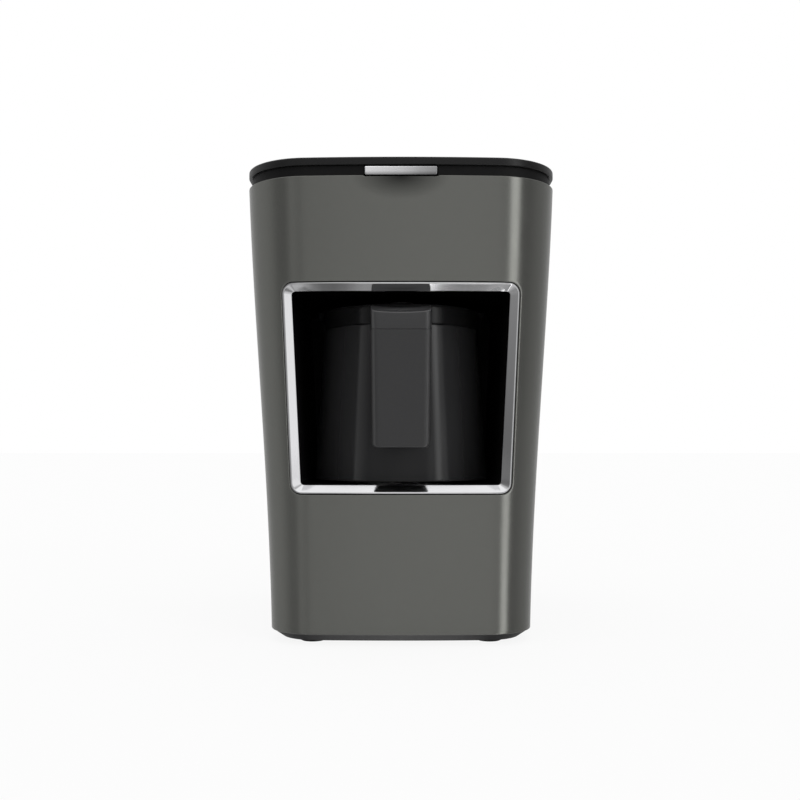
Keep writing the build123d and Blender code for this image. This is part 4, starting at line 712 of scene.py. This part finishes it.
def moulded(name, colour, roughness=0.45):
    """Plain moulded component with a faint grain."""
    finish = Finish(name, colour, roughness)
    finish.tint(finish.noise(400), scaled(colour, 0.9), scaled(colour, 1.1))
    finish.relief(finish.noise(2000), 0.01, 0.4)
    return finish.material


def smoked_lens():
    """Dark window in front of the foam sensor."""
    finish = Finish("smoked window", (0.03, 0.012, 0.018), 0.08)
    finish.uneven(finish.noise(200), 0.06, 0.12)
    return finish.material


def finish_table(settings):
    """Material of each slot of the record, and of the pieces that have a finish of their own."""
    return {
        "satin_paint": satin_paint(settings),
        "black_gloss": lid_plastic(settings),
        "black_satin": black_plastic(settings),
        "black_neck": neck_plastic(settings),
        "black_base": base_plastic(settings),
        "black_liner": liner_plastic(),
        "chrome": bright_chrome(settings),
        "bar_chrome": satin_chrome(settings),
        "rubber": rubber(),
        "pot_gloss": pot_gloss(),
        "ring_gloss": collar_gloss(),
        "handle": handle_plastic(settings),
        "handle_cap": cap_plastic(settings),
        "steel": brushed_steel(),
        "cup_steel": turned_steel(),
        "zinc_steel": zinc_plate(),
        "aluminium": cast_aluminium(),
        "spring_steel": brushed_steel(),
        "circuit_board": circuit_board(),
        "component_black": moulded("black component", (0.03, 0.03, 0.03)),
        "component_white": moulded("ivory component", (0.72, 0.7, 0.64)),
        "component_blue": moulded("blue component", (0.04, 0.09, 0.32)),
        "copper_tape": moulded("yellow tape", (0.62, 0.46, 0.1), 0.35),
        "silicone": moulded("dark silicone", (0.02, 0.02, 0.021), 0.6),
        "ceramic": moulded("glazed ceramic", (0.78, 0.75, 0.68), 0.25),
        "smoked_lens": smoked_lens(),
        "lead_grey": moulded("insulated lead", (0.2, 0.2, 0.21), 0.55),
    }


def dress(piece, finish):
    """Gives a piece one of the finishes of the table."""
    material = bpy.data.materials[bpy.context.scene["coffee_finishes"][finish]]
    if piece.material_slots:
        for holder in piece.material_slots:
            holder.material = material
    else:
        piece.data.materials.append(material)


# ---------------------------------------------------------------- operators
class COFFEE_OT_finishes(bpy.types.Operator):
    """Makes the finishes and gives each node of the construction its own"""
    bl_idname = "coffee.finishes"
    bl_label = "Finishes"

    def execute(self, context):
        made = finish_table(context.scene.coffee_finish)
        context.scene["coffee_finishes"] = {slot: material.name for slot, material in made.items()}
        for part in frame["record"]["subparts"]:
            dress(frame["nodes"][part["node"]], part["material_slot"])
        dress(frame["nodes"]["lid_neck"], "black_neck")
        dress(frame["nodes"]["base_plate"], "black_base")
        return {"FINISHED"}


def window_patch(s_lines, z_lines):
    """Ring of quads between the window's edge and the block of the front round it.

    A point of a ring lies on the straight line, in x and z, from the window's edge to the block's
    edge along a ray from the window's middle; y follows from the front surface.
    """
    bottom, top = (np.stack((casing_outline(s_lines, z)[0], 0 * s_lines + z), axis=1)
                   for z in (z_lines[0], z_lines[-1]))
    side = np.stack((casing_outline(0 * z_lines + s_lines[-1], z_lines)[0], z_lines), axis=1)
    mirrored = side * (-1, 1)
    outer = np.concatenate((bottom[:-1], side[:-1], top[:0:-1], mirrored[:0:-1]))
    edge = frame_loop(BEZEL_LOW - BEZEL_GAP, BEZEL_HIGH + BEZEL_GAP, BEZEL_HALF_LOW + BEZEL_GAP,
                      BEZEL_HALF_HIGH + BEZEL_GAP, BEZEL_CORNER + BEZEL_GAP,
                      BEZEL_CORNER + BEZEL_GAP, along=400, round_steps=60)
    edge_angle = np.arctan2(edge[:, 1] - WINDOW_MIDDLE_Z, edge[:, 0])
    order = np.argsort(edge_angle)
    angle = np.arctan2(outer[:, 1] - WINDOW_MIDDLE_Z, outer[:, 0])
    inner = np.stack([np.interp(angle, edge_angle[order], edge[order, axis], period=2 * np.pi)
                      for axis in (0, 1)], axis=1)
    share = np.linspace(0, 1, 13)[:, None, None]
    x, z = np.moveaxis(mix(inner, outer, share), -1, 0)
    return points_at(x, casing_front(x, z), z), sheet_faces(len(share), len(outer), wrap_columns=True)


def casing_patch(s_lines, z_lines, side_end=None):
    """Grid of the casing's surface over lines of s and z."""
    s, z = np.meshgrid(s_lines, z_lines)
    x, y = casing_outline(s, z, side_end=side_end)
    return points_at(x, y, z), sheet_faces(len(z_lines), len(s_lines))


class COFFEE_OT_wrap(bpy.types.Operator):
    """Painted wrap: front and sides in one sheet, with the window and the button's notch"""
    bl_idname = "coffee.wrap"
    bl_label = "Painted wrap"

    def execute(self, context):
        corner_share = 0.6
        *_, notch_join = casing_measures(NOTCH_LOW)
        notch_s = float(np.arcsin(NOTCH_HALF / BOW) / notch_join)
        half_lines = np.unique(np.concatenate((np.linspace(0, 1, 22), [notch_s],
                                               1 + np.linspace(0, corner_share, 22))))
        front_lines = np.concatenate((-half_lines[:0:-1], half_lines))
        side_lines = np.concatenate((1 + np.linspace(corner_share, 1, 14), 2 + np.linspace(0, 1, 16)[1:]))
        low = np.linspace(CASING_LOW, WINDOW_BLOCK_LOW, 24)
        middle = np.linspace(WINDOW_BLOCK_LOW, WINDOW_BLOCK_HIGH, 64)
        high = np.linspace(WINDOW_BLOCK_HIGH, NOTCH_LOW, 18)
        top = np.array([NOTCH_LOW, CASING_HIGH])
        patches = [casing_patch(front_lines, low), window_patch(front_lines, middle),
                   casing_patch(front_lines, high)]
        for beside_notch in (front_lines[front_lines <= -notch_s], front_lines[front_lines >= notch_s]):
            patches.append(casing_patch(beside_notch, top))
        side_z = np.unique(np.concatenate((low, middle, high, top)))
        for side in (-side_lines[::-1], side_lines):
            patches.append(casing_patch(side, side_z, side_end=WRAP_END_Y))
        wrap = mesh_piece("painted_wrap", patches, "housing")
        thicken(wrap, WALL * MM, context.scene.coffee_casing.edge_round)
        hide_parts("front_shell")
        dress(wrap, "satin_paint")
        return {"FINISHED"}


class COFFEE_OT_lid(bpy.types.Operator):
    """Head plate: one rounded slab over the casing's outline"""
    bl_idname = "coffee.lid"
    bl_label = "Lid plate"

    def execute(self, context):
        stretches = [start + np.linspace(0, 1, steps)[1:]
                     for start, steps in ((1, 40), (2, 14), (3, 20), (4, 16))]
        half_lines = np.concatenate((np.linspace(0, 1, 30), *stretches))
        lines = np.concatenate((-half_lines[-2:0:-1], half_lines))
        rim, face, middle = 1.3, 3.0, 9.0            # insets of the rings on the flat faces
        profile = [(middle, LID_LOW), (rim, LID_LOW),
                   *arc((LID_LOWER_ROUND, LID_LOW + LID_LOWER_ROUND), LID_LOWER_ROUND, 270, 180, 7),
                   *arc((LID_UPPER_ROUND, LID_HIGH - LID_UPPER_ROUND), LID_UPPER_ROUND, 180, 90, 6),
                   (rim, LID_HIGH), (face, LID_HIGH), (middle, LID_HIGH)]
        rings = [points_at(*casing_outline(lines, CASING_HIGH, inset), z) for inset, z in profile]
        plate = mesh_piece("lid_plate", [ring_stack(rings)], "housing")
        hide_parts("top_lid")
        dress(plate, "black_gloss")
        return {"FINISHED"}


class COFFEE_OT_frame(bpy.types.Operator):
    """Chrome frame round the chamber: a rim, a chamfer to a flat inner edge and mitred corners"""
    bl_idname = "coffee.frame"
    bl_label = "Chrome frame"

    def loop(self, share):
        """Outline at a share of the way from the outer edge to the opening."""
        return frame_loop(mix(BEZEL_LOW, OPENING_LOW, share), mix(BEZEL_HIGH, OPENING_HIGH, share),
                          mix(BEZEL_HALF_LOW, OPENING_HALF_LOW, share),
                          mix(BEZEL_HALF_HIGH, OPENING_HALF_HIGH, share),
                          mix(BEZEL_CORNER, OPENING_CORNER, share),
                          mix(BEZEL_CORNER, OPENING_CORNER, share), along=40, round_steps=14)

    def execute(self, context):
        settings = context.scene.coffee_casing
        rim, depth = settings.frame_rim / MM, settings.chamfer_depth / MM
        width = BEZEL_HALF_HIGH - OPENING_HALF_HIGH
        edge = BEZEL_EDGE_ROUND
        rows = [(0.0, edge)]
        rows += [(inset / width, edge - drop) for inset, drop in arc((edge, 0.0), edge, 180, 90)[1:]]
        rows.append(((edge + rim) / width, 0.0))
        x, z = self.loop(0.0).T
        rings = [points_at(x, BEZEL_BACK_Y, z)]
        for share, recess in rows:
            x, z = self.loop(share).T
            rings.append(points_at(x, casing_front(x, z) + recess, z))
        x, z = self.loop(1.0).T
        toward_side = np.clip((np.abs(x) - SIDE_DEEPER_FROM) / SIDE_DEEPER_OVER, 0, 1)
        y = (FRONT_Y + FRONT_LEAN * (1 - taper(z)) + x ** 2 / (2 * BOW) + depth
             + SIDE_DEEPER * toward_side ** 2 * (3 - 2 * toward_side))
        # Both edges of the chamfer are softened: no ring lies on them, only close to each side.
        brink, inner = rings[-1], points_at(x, y, z)
        rings[-1] = mix(rings[-2], brink, 0.85)
        rings += [mix(brink, inner, share) for share in (0.03, 0.08, 0.5, 0.93, 0.975)]
        rings += [inner + (0, back, 0) for back in (0.25, 0.7)]
        rings.append(points_at(x, BEZEL_BACK_Y, z))
        faces = sheet_faces(len(rings), len(x), wrap_rows=True, wrap_columns=True)
        bezel = mesh_piece("chrome_frame", [(np.array(rings), faces)], "housing")
        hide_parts("window_bezel")
        dress(bezel, "chrome")
        return {"FINISHED"}


class COFFEE_OT_button(bpy.types.Operator):
    """Push bar under the lid: a rounded bar with a lower chamfer"""
    bl_idname = "coffee.button"
    bl_label = "Push bar"

    def execute(self, context):
        front, back = BUTTON_LOW[1], BUTTON_HIGH[1]
        low, high, half = BUTTON_LOW[2], BUTTON_HIGH[2] - BAR_TOP_GAP, BUTTON_HIGH[0]
        chamfer = [(0.0, BAR_CHAMFER), (0.05, 1.15), (0.62, 0.18), (0.85, 0.0)]      # (depth, rise)
        section = np.array([(back, high), *arc((front + BAR_TOP_ROUND, high - BAR_TOP_ROUND), BAR_TOP_ROUND,
                                               90, 180, 6),
                            *[(front + depth, low + rise) for depth, rise in chamfer], (back, low)])
        middle = section.mean(axis=0)
        ends = [(0.0, 0.86), (0.0, 0.9), (0.12, 0.955), (0.35, 0.985), (0.7, 1.0), (1.1, 1.0)]
        stations = [(-half + inset, size) for inset, size in ends]
        stations += [(half - inset, size) for inset, size in ends[::-1]]
        rings = [points_at(x, *(middle + (section - middle) * size).T) for x, size in stations]
        bar = mesh_piece("push_bar", [ring_stack(rings)], "button")
        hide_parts("start_button")
        dress(bar, "bar_chrome")
        return {"FINISHED"}


def sleeve_radius(z):
    """Outer radius of the conical sleeve at height z."""
    share = (z - SLEEVE_LOW) / (SLEEVE_HIGH - SLEEVE_LOW)
    return mix(SLEEVE_RADIUS_LOW, SLEEVE_RADIUS_HIGH, share)


def cup_radius(z):
    """Outer radius of the steel cup at height z, parallel to the sleeve."""
    return sleeve_radius(z) - SLEEVE_WALL - CUP_GAP


def collar_reach(angle, z, radius, thinner=0.0):
    """Radius of the collar with its two spouts.

    A spout is a circle about (SPOUT_X, 0) whose radius grows with z; from the pot's axis its edge
    lies at c cos t + sqrt(r^2 - c^2 sin^2 t), and the collar takes the larger of it and its radius,
    softly: h ln(e^(a / h) + e^(b / h)) for a softness h.
    """
    share = np.clip((z - COLLAR_LOW) / (RIM_HIGH - COLLAR_LOW), 0, 1)
    spout = mix(SPOUT_ROOT_RADIUS, SPOUT_TOP_RADIUS, share) - thinner
    across = SPOUT_X * np.sin(angle)
    inside = spout ** 2 - across ** 2
    reach = SPOUT_X * np.abs(np.cos(angle)) + np.sqrt(np.maximum(inside, 0))
    reach = np.where((inside > 0) & (spout > 0), reach, 0.0)
    return np.logaddexp(radius / SPOUT_SOFTNESS, reach / SPOUT_SOFTNESS) * SPOUT_SOFTNESS


class COFFEE_OT_pot(bpy.types.Operator):
    """Pot: conical sleeve, collar with two spouts, and the steel cup inside"""
    bl_idname = "coffee.pot"
    bl_label = "Pot"

    def sleeve(self):
        """Profile of the open cone with its lip at the foot, turned about the pot's axis."""
        low, high, edge = SLEEVE_LOW, SLEEVE_HIGH, SLEEVE_FOOT_ROUND
        inner = SLEEVE_RADIUS_LOW - SLEEVE_LIP
        floor = low + SLEEVE_FLOOR
        return turned([(inner, low), (SLEEVE_RADIUS_LOW - edge, low),
                       *arc((sleeve_radius(low + edge) - edge, low + edge), edge, 275, 360),
                       *[(sleeve_radius(z), z) for z in np.linspace(low + 2, high - 1, 12)],
                       (sleeve_radius(high - SLEEVE_TOP_EDGE), high - SLEEVE_TOP_EDGE),
                       (SLEEVE_RADIUS_HIGH - SLEEVE_TOP_EDGE, high),
                       (SLEEVE_RADIUS_HIGH - SLEEVE_WALL, high),
                       (sleeve_radius(floor) - SLEEVE_WALL, floor), (inner, floor)])

    def cup(self):
        """Profile of the thin cup with its rounded floor, turned about the pot's axis."""
        floor = CUP_LOW + CUP_FLOOR
        bend = floor + CUP_FLOOR_ROUND
        inner = cup_radius(bend) - CUP_WALL
        foot = cup_radius(CUP_LOW)
        return turned([(0.0, CUP_LOW), (foot - CUP_FOOT_CHAMFER, CUP_LOW),
                       (foot, CUP_LOW + CUP_FOOT_CHAMFER),
                       (cup_radius(CUP_HIGH), CUP_HIGH), (cup_radius(CUP_HIGH) - CUP_WALL, CUP_HIGH),
                       (inner, bend), *arc((inner - CUP_FLOOR_ROUND, bend), CUP_FLOOR_ROUND, 0, -90, 7),
                       (20.0, floor), (0.0, floor)], closed=False)

    def collar(self):
        """Rings up the outside, over the rounded rim and down the inside, with the spouts.

        On the rim's rounding r a ring stands r (1 - cos t) in from the wall and r sin t up.
        """
        angle = np.linspace(0, 2 * np.pi, 384, endpoint=False)
        inner_low = cup_radius(COLLAR_LOW) + 0.1
        inner_high = cup_radius(CUP_HIGH) - CUP_WALL
        radius = SLEEVE_RADIUS_HIGH
        shoulder = RIM_HIGH - RIM_ROUND
        rows = [(inner_low, COLLAR_LOW), (collar_reach(angle, COLLAR_LOW, radius) - 0.2, COLLAR_LOW),
                (collar_reach(angle, COLLAR_LOW + 0.2, radius), COLLAR_LOW + 0.2)]
        rows += [(collar_reach(angle, z, radius), z) for z in np.linspace(COLLAR_LOW + 1, shoulder, 8)]
        outer = collar_reach(angle, RIM_HIGH, radius)
        rows += [(outer - RIM_ROUND * (1 - math.cos(turn)), shoulder + RIM_ROUND * math.sin(turn))
                 for turn in np.radians((30, 60, 90))]
        channel = collar_reach(angle, RIM_HIGH, inner_high, SPOUT_WALL)
        rows += [(channel + RIM_ROUND * (1 - math.cos(turn)), shoulder + RIM_ROUND * math.sin(turn))
                 for turn in np.radians((90, 60, 30, 0))]
        rows += [(collar_reach(angle, z, inner_high, SPOUT_WALL + 0.4), z)
                 for z in np.linspace(shoulder - 0.3, CUP_HIGH, 4)]
        rows.append((inner_low, CUP_HIGH))
        points = np.array([points_at(reach * np.cos(angle), POT_Y + reach * np.sin(angle), z)
                           for reach, z in rows])
        return points, sheet_faces(len(rows), len(angle), wrap_rows=True, wrap_columns=True)

    def execute(self, context):
        for name, node, slot, finish, patch in (
                ("pot_sleeve", "pot_body", "pot_gloss", "pot_gloss", self.sleeve()),
                ("pot_ring", "pot_collar", "pot_gloss", "ring_gloss", self.collar()),
                ("pot_cup", "pot_liner", "steel", "cup_steel", self.cup())):
            piece = mesh_piece(name, [patch], "pot")
            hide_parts(node)
            dress(piece, finish)
        return {"FINISHED"}


def round_inset(radius, depth):
    """How far a rounded edge still lies inside its outline at a depth behind the face."""
    rest = max(radius - depth, 0.0)
    return radius - math.sqrt(radius ** 2 - rest ** 2)


def arm_block(low, high, back):
    """Arm from the slab's back to the pot's wall: rounded rectangles that end on the cone or the collar."""
    x, z = frame_loop(low, high, ARM_HALF, ARM_HALF, ARM_CORNER, ARM_CORNER, along=6, round_steps=4).T
    radius = np.where(z > SLEEVE_HIGH, SLEEVE_RADIUS_HIGH, sleeve_radius(z))
    wall = POT_Y - np.sqrt(radius ** 2 - x ** 2) + SUNK
    return ring_stack([points_at(x, y, z) for y in (back - SUNK, back + 6.0, back + 13.0, wall)])


class COFFEE_OT_handle(bpy.types.Operator):
    """Handle: a flat rounded slab on its arm, and the cap with its hollowed thumb rest"""
    bl_idname = "coffee.handle"
    bl_label = "Handle"

    def slab(self, side_round, edge):
        """Front face outwards: rings of the rounded trapezoid at growing depth.

        At depth d a ring lies inside the outline by r - sqrt(r^2 - (r - d)^2) of its rounding r: the
        wide one at the sides and the small one at the lower edge. The upper edge, at the parting
        line, stays almost where it is.
        """
        whole = HANDLE_BACK_Y - HANDLE_FRONT_Y
        rounding = [depth for _, depth in arc((side_round, side_round), side_round, 270, 180, 12)]
        steps = [(side_round + more, edge + more, 0.0) for more in (3.0, 0.3)]
        steps += [(round_inset(side_round, depth), round_inset(edge, depth), depth) for depth in rounding]
        steps += [(inset, inset, whole - depth) for inset, depth in arc((edge, edge), edge, 180, 270, 6)]
        steps += [(edge + more, edge + more, whole) for more in (0.3, 4.0)]
        rings = []
        for inset, lift, depth in steps:
            top = HANDLE_PARTING - min(lift, 0.12 * lift + 0.02)
            x, z = frame_loop(HANDLE_LOW + lift, top, HANDLE_HALF_LOW - inset, HANDLE_HALF_HIGH - inset,
                              max(HANDLE_CORNER - lift, 0.4), 0.12, along=30, round_steps=9).T
            rings.append(points_at(x, HANDLE_FRONT_Y + depth, z))
        return ring_stack(rings)

    def thumb_height(self, x, y, dish):
        """Plane falling to the front, hollowed across its width as a parabola."""
        slope = (y - CAP_BACK_Y) / (CAP_BACK_Y - HANDLE_FRONT_Y)
        hollow = dish * (1 - (x / HANDLE_HALF_HIGH) ** 2)
        return HANDLE_HIGH + THUMB_DROP * slope - hollow

    def cap(self, side_round, edge, dish):
        """Rings of the rounded rectangle up to the hollowed top, whose edge is a quarter circle."""
        low = HANDLE_PARTING + PARTING_GAP
        middle_y = (HANDLE_FRONT_Y + CAP_BACK_Y) / 2
        half_depth = (CAP_BACK_Y - HANDLE_FRONT_Y) / 2
        steps = [(3.0, low, None), (0.5, low, None), (0.12, low, None), (0.0, low + 0.12, None)]
        steps += [(inset, None, CAP_TOP_ROUND - rise)
                  for inset, rise in arc((CAP_TOP_ROUND, 0.0), CAP_TOP_ROUND, 180, 90, 6)]
        steps += [(inset, None, 0.0) for inset in (CAP_TOP_ROUND + 0.4, 1.8, 3.2)]
        rings = []
        for inset, fixed, drop in steps:
            half = HANDLE_HALF_HIGH - inset
            x, y = frame_loop(-half_depth + inset, half_depth - inset, half, half,
                              max(side_round - inset, 0.25), max(edge - inset, 0.25), along=26,
                              round_steps=10).T
            y = y + middle_y
            rings.append(points_at(x, y, fixed if drop is None else self.thumb_height(x, y, dish) - drop))
        return ring_stack(rings)

    def execute(self, context):
        settings = context.scene.coffee_pot
        side_round, edge = settings.handle_round / MM, settings.handle_edge / MM
        grip = mesh_piece("handle_grip", [self.slab(side_round, edge),
                                          arm_block(ARM_LOW, HANDLE_PARTING, HANDLE_BACK_Y)],
                          "pot")
        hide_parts("pot_handle")
        dress(grip, "handle")
        cap = mesh_piece("handle_thumb_rest",
                         [self.cap(side_round, edge, settings.thumb_dish / MM),
                          arm_block(HANDLE_PARTING + PARTING_GAP, ARM_HIGH, CAP_BACK_Y)],
                         "pot")
        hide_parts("handle_cap")
        dress(cap, "handle_cap")
        return {"FINISHED"}


# ---------------------------------------------------------------- floor, light and camera
# Radiance of the room against the direction from the object: degrees from the front, to the
# user's right positive, and strength. Towards the zenith it goes over to one level, between two
# values of the direction's z.
ROOM_BANDS = [(-180, 0.65), (-130, 0.6), (-95, 0.66), (-80, 0.58), (-64, 0.34), (-47, 0.31), (-37, 0.64),
              (-20, 0.46), (-8, 0.72), (8, 0.78), (20, 0.68), (34, 0.5), (38.5, 2.6), (51, 2.7), (55, 0.26),
              (72, 0.28), (95, 0.44), (130, 0.55), (180, 0.65)]
ZENITH_LEVEL = 1.3
ZENITH_FROM, ZENITH_FULL = 0.5, 0.85

FLOOR_REACH = 8.0                     # metres
FLOOR_WHITENESS = 0.9                 # share of plain white in what the camera sees of the floor
FLOOR_CLEARNESS = 0.85                # share of the floor that glossy surfaces look through
CAMERA_SHIFT = (-0.00125, 0.0506)


def grey(level):
    """Opaque grey of a level."""
    return (level, level, level, 1.0)


def room_light(strength):
    """World: white to the camera, and a soft studio to everything else.

    The studio's radiance is a curve of the azimuth, atan2(x, -y), raised towards the zenith.
    """
    world = bpy.data.worlds.new("studio")
    world.use_nodes = True
    world.node_tree.nodes.clear()
    sky = Nodes(world.node_tree)
    place = sky.node("TexCoord").outputs["Generated"]
    front = sky.maths("MULTIPLY", sky.part(place, "Y"), -1.0)
    azimuth = sky.maths("ARCTAN2", sky.part(place, "X"), front)
    bands = sky.node("ValToRGB", {"Fac": sky.span(azimuth, -math.pi, math.pi)})
    elements = bands.color_ramp.elements
    brightest = max(level for _, level in ROOM_BANDS)
    while len(elements) < len(ROOM_BANDS):
        elements.new(0.5)
    for element, (degrees, level) in zip(elements, ROOM_BANDS):
        element.position = (degrees + 180) / 360
        element.color = grey(level / brightest)
    raised = sky.span(sky.part(place, "Z"), ZENITH_FROM, ZENITH_FULL, interpolation_type="SMOOTHSTEP")
    radiance = sky.node("Mix", {"Factor": raised, "A": bands.outputs["Color"],
                                "B": grey(ZENITH_LEVEL / brightest)}, data_type="RGBA").outputs["Result"]
    studio = sky.node("Background", {"Color": radiance, "Strength": brightest * strength})
    white = sky.node("Background", {"Color": grey(1.0), "Strength": 1.0})
    seen = sky.node("LightPath").outputs["Is Camera Ray"]
    sky.node("OutputWorld", {"Surface": sky.either(seen, studio.outputs[0], white.outputs[0])})
    bpy.context.scene.world = world


class COFFEE_OT_stage(bpy.types.Operator):
    """Pale floor, soft studio light and the camera"""
    bl_idname = "coffee.stage"
    bl_label = "Floor, light and camera"

    def floor(self):
        """Pale square, mostly plain white to the camera and mostly clear to glossy surfaces."""
        mesh = bpy.data.meshes.new("floor")
        corners = [(-1, -1), (1, -1), (1, 1), (-1, 1)]
        mesh.from_pydata([(x * FLOOR_REACH, y * FLOOR_REACH, 0) for x, y in corners], [], [(0, 1, 2, 3)])
        floor = bpy.data.objects.new("floor", mesh)
        bpy.context.scene.collection.objects.link(floor)
        cover = Finish("pale floor", (0.8, 0.8, 0.8), 0.9, Specular_IOR_Level=0.1)
        ray = cover.node("LightPath").outputs
        white = cover.node("Emission", {"Color": grey(1.0), "Strength": 1.0})
        pale = cover.either(cover.maths("MULTIPLY", ray["Is Camera Ray"], FLOOR_WHITENESS),
                            cover.shader.outputs[0], white.outputs[0])
        seen = cover.either(cover.maths("MULTIPLY", ray["Is Glossy Ray"], FLOOR_CLEARNESS),
                            pale, cover.node("BsdfTransparent").outputs[0])
        cover.feed(cover.tree.nodes["Material Output"].inputs["Surface"], seen)
        mesh.materials.append(cover.material)

    def execute(self, context):
        scene = context.scene
        settings = scene.coffee_studio
        self.floor()
        room_light(settings.surround)
        camera = bpy.data.cameras.new("camera")
        camera.lens = settings.lens
        camera.sensor_width = 36.0
        camera.shift_x, camera.shift_y = CAMERA_SHIFT
        camera.clip_start = 0.01
        holder = bpy.data.objects.new("camera", camera)
        scene.collection.objects.link(holder)
        holder.location = (0.0, FRONT_Y * MM - settings.distance, settings.eye_height)
        holder.rotation_euler = (math.radians(90), 0, 0)
        scene.camera = holder
        scene.view_settings.view_transform = "Standard"
        return {"FINISHED"}


class COFFEE_PT_panel(bpy.types.Panel):
    """Lists the steps and their settings"""
    bl_idname = "COFFEE_PT_panel"
    bl_label = "Coffee maker"
    bl_space_type = "VIEW_3D"
    bl_region_type = "UI"
    bl_category = "Coffee maker"

    def draw(self, context):
        for group in ("coffee_casing", "coffee_pot", "coffee_finish", "coffee_studio"):
            box = self.layout.box()
            settings = getattr(context.scene, group)
            for name in settings.__annotations__:
                box.prop(settings, name)
        for operator in OPERATORS:
            self.layout.operator(operator.bl_idname)


SETTINGS = {
    "coffee_casing": CoffeeCasingSettings,
    "coffee_pot": CoffeePotSettings,
    "coffee_finish": CoffeeFinishSettings,
    "coffee_studio": CoffeeStudioSettings,
}
OPERATORS = (COFFEE_OT_finishes, COFFEE_OT_wrap, COFFEE_OT_lid, COFFEE_OT_frame, COFFEE_OT_button,
             COFFEE_OT_pot, COFFEE_OT_handle, COFFEE_OT_stage)


def register():
    """Makes the settings, the steps and the panel known to Blender."""
    for kind in (*SETTINGS.values(), *OPERATORS, COFFEE_PT_panel):
        bpy.utils.register_class(kind)
    for name, kind in SETTINGS.items():
        setattr(bpy.types.Scene, name, PointerProperty(type=kind))


def unregister():
    """Takes them away again, in the reverse order."""
    for name in SETTINGS:
        delattr(bpy.types.Scene, name)
    for kind in (COFFEE_PT_panel, *OPERATORS[::-1], *list(SETTINGS.values())[::-1]):
        bpy.utils.unregister_class(kind)


def main():
    """Runs the steps in order."""
    register()
    for operator in OPERATORS:
        group, name = operator.bl_idname.split(".")
        getattr(getattr(bpy.ops, group), name)()


if __name__ == "__main__":
    main()
